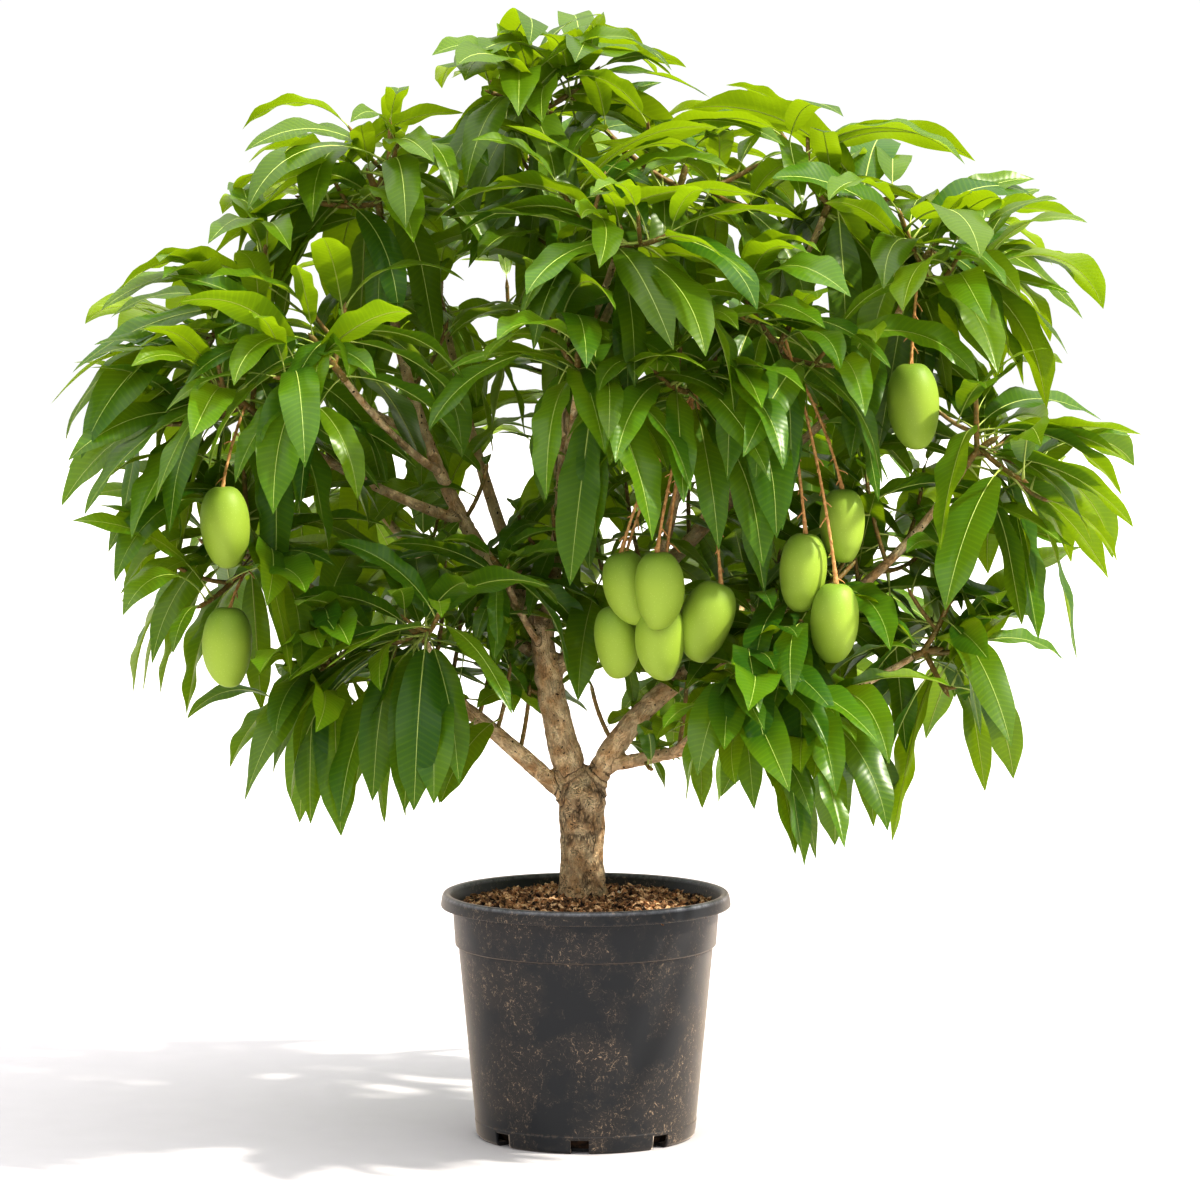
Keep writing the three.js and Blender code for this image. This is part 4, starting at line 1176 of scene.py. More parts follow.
# %% Keep the crown's outline and its gaps
SKY_GAPS = [  # where the sky shows through the crown: across, height, half width, half height
    (-123, 1236, 44, 24), (-192, 1215, 24, 26), (-208, 1500, 38, 8), (-216, 1461, 38, 10),
    (108, 1500, 40, 14), (506, 1390, 34, 28), (-70, 1094, 26, 24), (-150, 918, 42, 50),
    (-97, 966, 26, 38), (22, 648, 20, 30), (18, 560, 26, 44), (-70, 575, 24, 36), (628, 667, 40, 44),
]
GAP_MARGIN = 4
CROWN_OUTLINE = np.array([  # across, height
    (-22, 1632), (85, 1607), (181, 1519), (306, 1538), (475, 1473), (590, 1410), (722, 1356), (762, 1203),
    (703, 1103), (804, 1015), (818, 873), (781, 829), (736, 712), (677, 648), (695, 558), (617, 477),
    (515, 468), (435, 351), (354, 389), (289, 375), (220, 442), (115, 485), (78, 568), (-1, 525),
    (-66, 576), (-141, 616), (-173, 510), (-237, 459), (-363, 433), (-464, 471), (-532, 477), (-499, 612),
    (-583, 602), (-690, 651), (-665, 721), (-695, 816), (-762, 920), (-792, 1084), (-685, 1256),
    (-531, 1339), (-477, 1499), (-282, 1502), (-211, 1581),
])


def seen(points):
    """Where points appear, from the camera, on the upright plane through the trunk."""
    eye = np.array(CAMERA_PLACE) / MM
    return (eye + (points - eye) * (-eye[1] / (points[:, 1:2] - eye[1])))[:, [0, 2]]


def clear_of_gaps(spots):
    for across, height, half_width, half_height in SKY_GAPS:
        reach = np.array([half_width, half_height]) + GAP_MARGIN
        if np.min((((spots - [across, height]) / reach) ** 2).sum(1)) < 1:
            return False
    return True


def inside_outline(spots):
    """From a spot in the crown, a line to the right crosses the outline an odd number of times."""
    before, after = CROWN_OUTLINE, np.roll(CROWN_OUTLINE, -1, axis=0)
    across, height = spots[:, :1], spots[:, 1:]
    spans = (before[:, 1] > height) != (after[:, 1] > height)
    shift = (height - before[:, 1]) * (after[:, 0] - before[:, 0]) / (after[:, 1] - before[:, 1])
    crossing = before[:, 0] + shift
    return bool(np.all(np.sum(spans & (across < crossing), axis=1) % 2 == 1))


print("corners of the outline:", len(CROWN_OUTLINE), "gaps:", len(SKY_GAPS))

# %% [markdown]
# Some places are kept open along a line. The sun reaches the trunk and some fruit through lanes between the
# leaves, and the main boughs stay in view from the front.

# %% Keep lanes for the sun and the eye
SUN_TRAVEL = Vector((-0.93, 0.2, -1.0))
LANE_LENGTH = 1300
LANE_STEP = 0.12  # the share of a limb from one lane's foot to the next
SUN_LANES = [  # what the sun reaches through the leaves, and the lane's radius
    ((18, -22, 425), 50), ((100, -80, 345), 50), ((190, -60, 250), 60), ((-12, -30, 600), 28),
    ((-488, -250, 915), 50), ((465, -180, 1080), 44), ((168, -80, 140), 42),
]
OPEN_WOOD = [  # limb that stays in view, from and to which share of it, and the lane's radius
    ("stem_main", 0.1, 1.0, 22), ("right_main", 0.05, 0.42, 20), ("right_low", 0.1, 0.35, 16),
    ("left_top", 0.08, 0.45, 18),
]
FOOT_PROBES = 2  # a leaf's foot may stand in its neighbour's space


def open_lanes():
    """The feet of all lanes, the ways that they run and their radii."""
    toward_sun = unit(-np.array(SUN_TRAVEL))
    lanes = [(np.array(place, float), toward_sun, width) for place, width in SUN_LANES]
    for name, start, end, width in OPEN_WOOD:
        for place in limbs[name][0].at(np.arange(start, end, LANE_STEP)):
            lanes.append((place, unit(np.array(CAMERA_PLACE) / MM - place), width))
    return [np.array(values) for values in zip(*lanes)]


LANE_FEET, LANE_WAYS, LANE_WIDTHS = open_lanes()


def clear_of_lanes(points):
    away = points[:, None] - LANE_FEET
    along = (away * LANE_WAYS).sum(-1)
    aside = np.linalg.norm(away - along[..., None] * LANE_WAYS, axis=-1)
    return not np.any((along > 0) & (along < LANE_LENGTH) & (aside < LANE_WIDTHS))


def has_room(probes, number):
    """Whether a leaf fits. A water shoot has no mass of its own, so its number is None."""
    if number is not None and not in_own_space(probes[FOOT_PROBES:], number):
        return False
    spots = seen(probes)
    in_shape = inside_frame(probes) and inside_outline(spots) and clear_of_gaps(spots)
    is_clear = in_shape and clear_of_wood(probes) and clear_of_pot(probes)
    return is_clear and clear_of_fruit(probes) and clear_of_lanes(probes)


print("lanes:", len(LANE_FEET))

# %% [markdown]
# ## The leaves
#
# A mango leaf is long and narrow, leathery and pointed. It leaves the twig on a stalk with a swollen foot,
# arches over under its own weight, is folded a little along its midrib, and waves at its edges. Young leaves
# at a shoot's tip stand up and are yellow-green. Older ones hang and are dark. Each blade is a grid of points
# round a bent spine, and the stalk and midrib are one thin tube that runs through it. Each whorl turns by the
# golden angle from leaf to leaf, which is how real shoots avoid shading their own leaves.

# %% The shape of a leaf
LEAF_LENGTH, STALK_SHARE, HALF_WIDTH = 282, 0.12, 28.5
BREADTHS, BREADTH_KEY = (0.88, 1.18), 7  # how broad leaves are, and what scrambles their numbers for it
HIGHEST, STEEPEST = math.radians(64), math.radians(79)
SPINE_STEPS = 36
BLADE_ROWS, BLADE_COLUMNS = 20, 9
RIB_ROWS, RIB_SIDES, RIB_RADIUS, RIB_END = 14, 4, 1.5, 0.97
SWOLLEN_FOOT, FOOT_SHARE, THIN_TIP = 1.3, 0.03, 0.25  # shares of a rib's radius and length
WAVE_HEIGHT, FOLD, CUP = 4.8, 0.38, 0.2
WAVES, FOLDS = (1.6, 3.6), (0.5, 1.4)  # waves along each edge of a blade, and how far blades are folded
LANCE, FOOT_POWER, TIP_POWER = 2.39, 0.6, 0.66  # the lance's two ends, and what makes its widest place 1
TIP_FROM, TIP_PINCH = 0.78, 0.5  # where a blade narrows to its drawn-out tip, and by what share


def leaf_spine(root, direction, length, droop, drift):
    """The midline of a leaf that bends down as it goes and drifts to one side."""
    rise = min(math.asin(max(-1.0, min(1.0, direction[2]))), HIGHEST)
    shares = (np.arange(SPINE_STEPS) + 0.5) / SPINE_STEPS
    elevation = np.maximum(rise - droop * shares, -STEEPEST)
    azimuth = math.atan2(direction[1], direction[0]) + drift * shares ** 2
    level = np.cos(elevation)
    steps = np.stack([level * np.cos(azimuth), level * np.sin(azimuth), np.sin(elevation)], -1)
    return Path(np.concatenate([[root], root + np.cumsum(steps, axis=0) * length / SPINE_STEPS]))


def leaf_frames(spine, shares, roll, twist):
    """Places on a leaf's midline, the way across its blade and the way up from it."""
    places, tangents = spine.at(shares), spine.tangent(shares)
    level = unit(np.cross(UP, tangents))
    up = np.cross(tangents, level)
    turn = (roll + twist * shares)[:, None]
    return places, level * np.cos(turn) + up * np.sin(turn), up * np.cos(turn) - level * np.sin(turn)


def blade_width(share):
    """The half width of a blade along its length, as a share of the widest: a lance with a drawn-out tip."""
    into_tip = np.clip((share - TIP_FROM) / (1 - TIP_FROM), 0, 1)
    lance = LANCE * share ** FOOT_POWER * (1 - share) ** TIP_POWER
    return lance * (1 - TIP_PINCH * into_tip ** 2 * (3 - 2 * into_tip))


def rib_radius(size):
    """The radius of a leaf's stalk and midrib: swollen at the foot, and thinning to the tip."""
    def radius(share):
        swelling = SWOLLEN_FOOT * math.exp(-share / FOOT_SHARE)
        return size * RIB_RADIUS * (swelling + between(1, THIN_TIP, share))
    return radius


def add_leaf(blades, ribs, spine, roll, twist, size, lot):
    """One leaf. Marks of a blade are millimetres across and along it, and the leaf's own number."""
    along = np.linspace(0, 1, BLADE_ROWS + 1)[1:-1]
    places, side, up = leaf_frames(spine, STALK_SHARE + (1 - STALK_SHARE) * along, roll, twist)
    across = np.linspace(-1, 1, BLADE_COLUMNS)
    broadest = HALF_WIDTH * size * between(*BREADTHS, (lot * BREADTH_KEY) % 1)
    half = (broadest * blade_width(along))[:, None]
    started = np.where(across < 0, lot, 1 - lot)[None] * 3
    phase = 2 * np.pi * (started + along[:, None] * between(*WAVES, lot))
    wave = WAVE_HEIGHT * size * np.sin(np.pi * along)[:, None] * np.abs(across) ** 2 * np.sin(phase)
    lift = half * (FOLD * between(*FOLDS, lot) * np.abs(across) - CUP * across ** 2) + wave
    points = places[:, None] + side[:, None] * (half * across)[..., None] + up[:, None] * lift[..., None]
    length = spine.length * (1 - STALK_SHARE)
    flat = np.broadcast_to(across, half.shape[:1] + across.shape)
    far_along = np.broadcast_to(along[:, None] * length, flat.shape)
    marks = np.stack([half * flat, far_along, np.full(flat.shape, lot)], -1)
    last = (BLADE_ROWS - 1) * BLADE_COLUMNS
    ends = np.array([spine.at(STALK_SHARE), spine.at(1)])
    end_marks = [[0, 0, lot], [0, length, lot]]
    row = np.arange(BLADE_COLUMNS - 1)
    foot = np.stack([np.full(len(row), last), row + 1, row], -1)
    last_row = row + last - BLADE_COLUMNS
    tip = np.stack([np.full(len(row), last + 1), last_row, last_row + 1], -1)
    blades.add(
        np.concatenate([points.reshape(-1, 3), ends]),
        [grid_faces(BLADE_ROWS - 1, BLADE_COLUMNS), np.concatenate([foot, tip])],
        np.concatenate([marks.reshape(-1, 3), end_marks]),
    )
    add_tube(ribs, spine, rib_radius(size), RIB_SIDES, RIB_ROWS, 0, RIB_END)


print("points of a blade:", (BLADE_ROWS - 1) * BLADE_COLUMNS + 2)

# %% [markdown]
# Leather-hard leaves take three greens: yellow-green where a flush is new, fresh green where it has hardened,
# and dark green in old shade leaves. Light passes through a leaf and comes out yellower, so each finish mixes
# a glossy skin with a translucent one. The side veins slope out from the midrib, one every 9.5 mm.

# %% Leaf finishes
VEIN_SPACING, VEIN_SLOPE = 9.5, 0.55


def leaf_finish(shade, light, glow, glow_share):
    """A builder of a leaf's surface: two close greens, dealt out leaf by leaf, and the glow through it."""
    shade, light, glow = linear(shade), linear(light), linear(glow)

    def build(tree):
        marks = node(tree, "Attribute", attribute_name="marks").outputs["Vector"]
        axes = node(tree, "SeparateXYZ", {0: marks}).outputs
        out = node(tree, "Math", {0: axes["X"]}, operation="ABSOLUTE")
        slope = node(tree, "Math", {0: out, 1: -VEIN_SLOPE, 2: axes["Y"]}, operation="MULTIPLY_ADD")
        veins = node(tree, "Math", {0: slope, 1: VEIN_SPACING / 2}, operation="PINGPONG")
        vein = node(tree, "MapRange", {
            "Value": veins, "From Max": VEIN_SPACING / 2,
        }, interpolation_type="SMOOTHERSTEP")
        line = node(tree, "MapRange", {"Value": vein, "From Min": 0.7, "To Max": 0.1})
        greens = node(tree, "Mix", {FACTOR: axes["Z"], COLOUR_A: shade, COLOUR_B: light}, **MIX_COLOURS)
        veined = node(tree, "Mix", {FACTOR: line, COLOUR_A: greens, COLOUR_B: glow}, **MIX_COLOURS)
        bumps = node(tree, "Bump", {"Height": vein, "Strength": 0.3, "Distance": 0.3 * MM}, invert=True)
        skin = node(tree, "BsdfPrincipled", {
            "Base Color": veined, "Normal": bumps, "Roughness": 0.33, "IOR": 1.47,
        })
        through = node(tree, "BsdfTranslucent", {"Color": glow})
        return node(tree, "MixShader", {0: glow_share, 1: skin, 2: through})
    return build


LEAF_FINISHES = {
    "young": material("young_mango_leaf", leaf_finish("#446312", "#608018", "#a8c114", 0.37)),
    "fresh": material("fresh_mango_leaf", leaf_finish("#346018", "#4e751c", "#aec814", 0.33)),
    "old": material("dark_mango_leaf", leaf_finish("#295518", "#426f1a", "#adc812", 0.32)),
}


def plain_rib(tree):
    return node(tree, "BsdfPrincipled", {
        "Base Color": linear("#b4c06a"), "Roughness": 0.45, "IOR": 1.45,
    })


rib_finish = material("pale_leaf_rib", plain_rib)
print("leaf finishes:", ", ".join(LEAF_FINISHES))

# %% [markdown]
# A whorl is grown from its oldest leaf up to the shoot's tip. Each leaf first takes the lean and the turn
# that its age and the golden angle give it. If it has no room there, it tries other ways to point, and at
# last it is left out.

# %% How a whorl grows
WHORL_LENGTH, FIRST_LEAF, LOWEST_SHARE = 110, 0.03, 0.08
SEEKS_LIGHT = 0.4
LEANS, DROOPS = (24, 114), (66, 54)  # degrees, of the youngest and the oldest leaf of a whorl
LEAN_CHANCE, DROOP_CHANCE, DROOP_STEP = 9, 14, 4
LEAF_SIZES, YOUNGEST_SIZE, GROWTH = (0.72, 1.08), 0.66, 3  # the youngest third of a whorl is still growing
ROLL, DRIFT, TWIST = math.radians(34), 1.1, 0.6
TURN_PER_KEY, TURN_CHANCE = 1.3, 0.4
TRIES, SALTS, SALT_STEP = 12, range(3, 10), 10  # each try draws its own luck
FIRST_PROBE, PROBES = 0.3, 6  # a leaf's midline is tested at this many places, from this share of it on
AGE_HEIGHT, AGE_SPAN, AGE_CHANCE = 1050, 420, 0.7  # higher than this a shoot is newer, lower it is older
YOUNG_FROM, OLD_BELOW, NEW_LEAF_AGE = 0.62, -0.25, 0.2
LOW_SHOOTS, LOW_SPAN, LOW_DROOP = 600, 500, 0.74  # leaves of low shoots droop by this share of the others


def leaf_age(height, number, k):
    """The green of a shoot: new flushes are high in the crown, and old leaves low and inside."""
    newness = (height - AGE_HEIGHT) / AGE_SPAN + AGE_CHANCE * (chance(number, k, 5) - 0.5)
    return "young" if newness > YOUNG_FROM else "fresh" if newness > OLD_BELOW else "old"


def grow_whorl(moulds, ribs, number, shoot, key, count, size, seed=0):
    """Leaves round the end of a shoot, the oldest first. Returns where along it they found room."""
    seed = number if number is not None else seed
    height = shoot.at(1)[2]
    green = leaf_age(height, seed, key)
    drooping = between(LOW_DROOP, 1, min(max((height - LOW_SHOOTS) / LOW_SPAN, 0), 1))
    grown = []
    for k in range(count):
        age = 1 - k / (count - 1)
        share = max(1 - WHORL_LENGTH / shoot.length * between(FIRST_LEAF, 1, age), LOWEST_SHARE)
        axis = unit(between(shoot.tangent(share), UP, SEEKS_LIGHT))
        own_size = size * between(*LEAF_SIZES, chance(seed, key, k, 2))
        own_size *= between(YOUNGEST_SIZE, 1, min(1, GROWTH * age))
        for attempt in range(TRIES):
            luck = [chance(seed, key, k, salt + SALT_STEP * attempt) for salt in SALTS]
            lean = between(*LEANS, age) + between(-LEAN_CHANCE, LEAN_CHANCE, luck[0])
            stray = (luck[1] - 0.5) * (TURN_CHANCE + TURN_CHANCE * attempt)
            turn = k * GOLDEN_ANGLE + key * TURN_PER_KEY + seed + stray
            droop = between(*DROOPS, age) * drooping + between(-DROOP_CHANCE, DROOP_CHANCE, luck[2])
            droop = math.radians(droop + attempt * DROOP_STEP)
            direction = leaning(axis, math.radians(lean), turn)
            length, drift = LEAF_LENGTH * own_size, DRIFT * (luck[3] - 0.5)
            spine = leaf_spine(shoot.at(share), direction, length, droop, drift)
            if has_room(spine.at(np.linspace(FIRST_PROBE, 1, PROBES)), number):
                newest = green == "fresh" and age < NEW_LEAF_AGE
                kind = "young" if newest else green
                roll, twist = ROLL * (2 * luck[4] - 1), TWIST * (luck[5] - 0.5)
                add_leaf(moulds[kind], ribs, spine, roll, twist, own_size, luck[6])
                grown.append(share)
                break
    return grown


print("a leaf is tried in up to %d ways" % TRIES)

# %% [markdown]
# Old wood bears water shoots: short shoots that sprout straight out of a limb and turn up to the light. They
# fill the crown near the trunk. Low shoots stand in shade and bear fewer leaves. A shoot that bears fewer
# than two is not grown out to them as a twig, though a single leaf that it bore stays.

# %% Grow the leaves
PER_WHORL, PER_TWIG, PER_LOW_WHORL, PER_SPROUT = 9, 5, 7, 8
LOW_HEIGHT = 640
FEWEST_LEAVES = 2
FIRST_TWIG_KEY, FIRST_SPROUT_KEY, FIRST_SPROUT_SEED = 10, 20, 40  # so that no two shoots share their luck
SPROUT_LEAN, SPROUT_BEND, SPROUT_OUT, SPROUT_UP = math.radians(65), 0.6, 0.8, 0.4
WATER_SHOOTS = [  # bough, share of its length, length of the shoot, the way it points, size of its leaves
    ("stem_main", 0.86, 60, 200, 0.4), ("stem_main", 0.95, 70, 320, 0.45),
    ("left_top", 0.1, 80, 150, 0.45), ("left_top", 0.2, 90, 250, 0.5), ("leader", 0.08, 70, 200, 0.42),
    ("leader", 0.16, 90, 300, 0.5), ("left_back", 0.18, 80, 240, 0.42),
    ("right_rise", 0.25, 90, 230, 0.5), ("left_top", 0.3, 80, 60, 0.5), ("right_low", 0.4, 90, 90, 0.6),
    ("leader", 0.3, 90, 160, 0.5), ("left_low", 0.46, 110, 95, 0.85), ("left_low", 0.36, 90, 75, 0.7),
    ("right_main", 0.25, 80, 100, 0.5), ("right_rise", 0.3, 130, 90, 0.8),
    ("right_rise", 0.45, 130, 60, 0.85), ("right_outer", 0.35, 120, 60, 0.85),
    ("right_outer", 0.5, 120, 110, 0.85), ("back_right", 0.3, 120, 90, 0.85),
    ("right_main", 0.9, 110, 60, 0.8), ("left_top", 0.62, 100, 120, 0.7), ("leader", 0.26, 80, 30, 0.6),
    ("leader", 0.2, 70, 350, 0.55), ("stem_main", 0.6, 90, 270, 0.6), ("right_outer", 0.6, 140, 10, 0.95),
    ("right_outer", 0.45, 140, 330, 0.95), ("right_low", 0.22, 70, 225, 0.62),
    ("right_outer", 0.2, 120, 350, 0.9), ("leader", 0.94, 40, 270, 1.1), ("leader", 0.87, 45, 90, 1.08),
    ("leader", 0.8, 45, 255, 1.05), ("leader", 0.72, 45, 60, 0.95), ("left_low", 0.3, 90, 60, 0.75),
    ("left_low", 0.22, 80, 100, 0.62), ("stem_main", 0.5, 90, 200, 0.65), ("left_low", 0.52, 90, 60, 0.8),
    ("back_right", 0.55, 130, 20, 0.95), ("back_right", 0.7, 120, 120, 0.95),
    ("back_low", 0.5, 120, 60, 0.9), ("back_centre", 0.45, 120, 90, 0.9),
    ("back_left", 0.5, 120, 90, 0.9), ("back_left", 0.65, 120, 200, 0.9), ("back_top", 0.5, 110, 90, 0.9),
    ("back_low", 0.35, 100, 250, 0.8), ("right_high", 0.7, 60, 90, 1.05),
    ("right_low_outer", 0.5, 90, 60, 0.9), ("right_fork", 0.6, 80, 200, 0.85),
]


def water_shoot(bough, share, length, turn):
    """A short shoot straight out of old wood, which turns up to the light."""
    limb = limbs[bough][0]
    direction = leaning(limb.tangent(share), SPROUT_LEAN, math.radians(turn))
    start = limb.at(share)
    end = start + direction * length * SPROUT_OUT + UP * length * SPROUT_UP
    return curve(start, start + direction * length * SPROUT_BEND, end)


def leaves_on(shoot, key):
    """How many leaves a shoot can bear."""
    if key >= FIRST_TWIG_KEY:
        return PER_TWIG
    return PER_WHORL if shoot.at(1)[2] > LOW_HEIGHT else PER_LOW_WHORL


foliage_nodes = ["foliage_" + mass["bough"] for mass in masses]
blade_moulds = {green: Mould() for green in LEAF_FINISHES}
rib_mould = Mould()
leaf_count = 0
for number, mass in enumerate(masses):
    mass["leafy"] = {}  # how far along each shoot its last leaf stands
    keyed = list(enumerate(mass["shoots"])) + list(enumerate(mass["twigs"], start=FIRST_TWIG_KEY))
    for key, shoot in keyed:
        count = leaves_on(shoot, key)
        grown = grow_whorl(blade_moulds, rib_mould, number, shoot, key, count, mass["leaf_size"])
        leaf_count += len(grown)
        if len(grown) >= FEWEST_LEAVES:
            mass["leafy"][key] = max(grown)
leafy_sprouts = []
for k, (bough, share, length, turn, leaf_size) in enumerate(WATER_SHOOTS):
    sprout = water_shoot(bough, share, length, turn)
    key, seed = FIRST_SPROUT_KEY + k, FIRST_SPROUT_SEED + k
    grown = grow_whorl(blade_moulds, rib_mould, None, sprout, key, PER_SPROUT, leaf_size, seed=seed)
    leaf_count += len(grown)
    if len(grown) >= FEWEST_LEAVES:
        leafy_sprouts.append((sprout, max(grown)))
print("leaves:", leaf_count)
for green, mould in blade_moulds.items():
    dress(mould.cast("leaf_blades_" + green, LEAF_FINISHES[green]), "foliage", *foliage_nodes)
dress(rib_mould.cast("leaf_ribs", rib_finish), "foliage", *foliage_nodes)

# %% [markdown]
# A mango shoot grows in flushes. It is thicker where each flush ended, scarred where old leaves fell, and
# closed by a pointed bud. The twigs are tubes whose radius follows that, and each ends at its last leaf. A
# shoot that bears a leafy twig reaches at least as far as that twig can leave it.

# %% Grow the twigs
STEM_RADII, SHOOT_RADII, TWIG_RADII = (5.6, 4.3), (4.2, 3.3), (3.2, 2.7)
NODE_SPACING, NODE_SWELLING = 13, 0.14
BUD_LENGTH, BUD_TAPER = 11, 0.9
TWIG_POINTS, TWIG_SIDES, TWIG_RING_STEP = 80, 8, 3.5


def twig_radius(path, radii, seed):
    """The radius along a twig, with a swelling at each node and a bud at its tip."""
    bud_share = BUD_LENGTH / path.length

    def radius(share):
        node_wave = max(0.0, math.cos(2 * math.pi * share * path.length / NODE_SPACING + seed)) ** 3
        girth = between(*radii, share) * (1 + NODE_SWELLING * node_wave)
        into_bud = max(0.0, (share - 1 + bud_share) / bud_share)
        return girth * (1 - BUD_TAPER * into_bud ** 1.5)
    return radius


def add_twig(mould, path, radii, seed, reach):
    """A twig as far as its last leaf, which carries on from there by the length of its bud."""
    kept = path.at(np.linspace(0, reach, TWIG_POINTS))
    longer = Path(np.concatenate([kept, [kept[-1] + path.tangent(reach) * BUD_LENGTH]]))
    rings = int(longer.length / TWIG_RING_STEP)
    add_tube(mould, longer, twig_radius(longer, radii, seed), TWIG_SIDES, rings)


twig_mould = Mould()
for number, mass in enumerate(masses):
    leafy, stalks = mass["leafy"], len(mass["stalks"])
    last_stalk = between(*STALK_FROM, (stalks - 1) / stalks) if stalks else 0
    stem_reach = max(leafy.get(0, 0), last_stalk)
    for key, shoot in enumerate(mass["shoots"][1:], start=1):
        twig_key = key - 1 + FIRST_TWIG_KEY
        reach = max(leafy.get(key, 0), TWIG_FROM[1] if twig_key in leafy else 0)
        if reach:
            add_twig(twig_mould, shoot, SHOOT_RADII, number + key, reach)
            stem_reach = max(stem_reach, SIDES_FROM[1])
        if twig_key in leafy:
            add_twig(twig_mould, mass["twigs"][key - 1], TWIG_RADII, number - key, leafy[twig_key])
    add_twig(twig_mould, mass["shoots"][0], STEM_RADII, number, stem_reach)
for sprout, reach in leafy_sprouts:
    add_twig(twig_mould, sprout, TWIG_RADII, 0, reach)
print("points of the twigs:", twig_mould.count)

# %% [markdown]
# A young twig is green wood under a thin brown skin. It has a slight gloss, and pale leaf scars.

# %% Green-brown twig skin
TWIG_PATCH_MM, LEAF_SCAR_MM = 9, 4


def young_wood(tree):
    marks = node(tree, "Attribute", attribute_name="marks").outputs["Vector"]
    patches = node(tree, "TexNoise", {"Vector": marks, "Scale": 1 / TWIG_PATCH_MM, "Detail": 3.0})
    share = node(tree, "MapRange", {"Value": patches, "From Min": 0.35, "From Max": 0.65})
    scars = node(tree, "TexNoise", {"Vector": marks, "Scale": 1 / LEAF_SCAR_MM, "Detail": 0.0})
    scar = node(tree, "MapRange", {"Value": scars, "From Min": 0.66, "From Max": 0.72})
    green, brown, pale = linear("#6a632c"), linear("#94703e"), linear("#a8946a")
    skin = node(tree, "Mix", {FACTOR: share, COLOUR_A: green, COLOUR_B: brown}, **MIX_COLOURS)
    scarred = node(tree, "Mix", {FACTOR: scar, COLOUR_A: skin, COLOUR_B: pale}, **MIX_COLOURS)
    bumps = node(tree, "Bump", {"Height": patches, "Strength": 0.5, "Distance": 0.8 * MM})
    return node(tree, "BsdfPrincipled", {
        "Base Color": scarred, "Normal": bumps, "Roughness": 0.55, "IOR": 1.45,
    })


twig_finish = material("young_green_brown_wood", young_wood)
dress(twig_mould.cast("twigs", twig_finish), "foliage", *foliage_nodes)

# %% [markdown]
# ## The fruit
#
# The fruit is a mango that is not ripe yet: an egg with broad shoulders, a little flattened, whose lower end
# swings aside into a blunt beak with a shallow notch above it. A dimple takes the stalk.

# %% Shape the mangoes
FRUIT_ROWS, FRUIT_COLUMNS = 40, 48
BLUNTNESS, SLIMMER, FLATTENED, SHOULDER, BEAK = 0.84, 0.02, 0.93, 0.07, 8.0
NOTCH, NOTCH_HEIGHT, NOTCH_WIDTH = 2.4, 0.74, 0.17  # its depth, then its place and width as shares
DIMPLE, DIMPLE_WIDTH, DIMPLE_BOTTOM = 3.0, 0.05, 3.2


def add_mango(mould, middle, size, lean, number):
    """One mango. The first of its marks is the height, from -1 at the beak to 1 at the stalk."""
    polar = np.linspace(0, np.pi, FRUIT_ROWS + 1)[1:-1]
    turn = np.linspace(0, 2 * np.pi, FRUIT_COLUMNS, endpoint=False)
    height = np.cos(polar)
    girth = FRUIT_RADIUS * np.sin(polar) ** BLUNTNESS * (1 + SHOULDER * height - SLIMMER)
    swing = BEAK * np.clip(-height, 0, 1) ** 2
    notched = NOTCH * np.exp(-((height + NOTCH_HEIGHT) / NOTCH_WIDTH) ** 2)
    notch = notched[:, None] * np.clip(np.cos(turn), 0, 1)
    x = (girth[:, None] - notch) * np.cos(turn) + swing[:, None]
    y = FLATTENED * girth[:, None] * np.sin(turn)
    dimple = DIMPLE * np.exp(-((1 - height) / DIMPLE_WIDTH))
    z = np.broadcast_to((height * FRUIT_LENGTH / 2 - dimple)[:, None], x.shape)
    poles = [[0, 0, FRUIT_LENGTH / 2 - DIMPLE_BOTTOM], [BEAK, 0, -FRUIT_LENGTH / 2]]
    points = np.concatenate([np.stack([x, y, z], -1).reshape(-1, 3), poles]) * size
    swung = Matrix.Rotation(math.radians(lean), 3, "Y")
    spin = swung @ Matrix.Rotation(2 * math.pi * chance(number, 6), 3, "Z")
    level = np.concatenate([np.repeat(height, FRUIT_COLUMNS), [1, -1]])
    marks = level[:, None] * [1, 0, 0]
    rows, last = len(polar), len(polar) * FRUIT_COLUMNS
    top = fan_faces(last, range(FRUIT_COLUMNS))
    bottom = fan_faces(last + 1, range(last - FRUIT_COLUMNS, last), turned=True)
    sides = grid_faces(rows, FRUIT_COLUMNS, closed=True)[:, ::-1]
    mould.add(points @ np.array(spin).T + middle, [sides, np.concatenate([top, bottom])], marks)


print("a mango of size 1 is", FRUIT_LENGTH, "mm long")

# %% [markdown]
# A mango hangs on an orange-brown stalk, which is what is left of the flower spray. It is knobbly, and the
# stubs are side branches whose flowers dropped off.

# %% Hang the mangoes on their stalks
STALK_RADIUS, STALK_SIDES, STALK_RING_STEP = 2.1, 8, 3
KNOB_SPACING, KNOB, COLLAR, COLLAR_FROM, COLLAR_SHARE = 14, 0.3, 0.9, 0.86, 0.14
STUB_SPACING, STUB_PLACES, STUB_LEANS = 28, (0.25, 0.97), (45, 75)
STUB_LENGTHS, STUB_RADII, STUB_BEND, STUB_SAG = (6, 20), (1.5, 0.8), 0.6, 0.3
STUB_POINTS, STUB_SIDES, STUB_RINGS = 12, 6, 5
MANGO_SEED_STEP, STALK_SEED_STEP = 7, 5  # from one mass to the next


def stalk_radius(path, seed):
    """The radius of a fruit stalk: knobbly, and thicker where it meets the fruit."""
    def radius(share):
        knob = max(0.0, math.cos(2 * math.pi * share * path.length / KNOB_SPACING + seed)) ** 4
        collar = COLLAR * max(0.0, share - COLLAR_FROM) / COLLAR_SHARE
        return STALK_RADIUS * (1 + KNOB * knob + collar)
    return radius


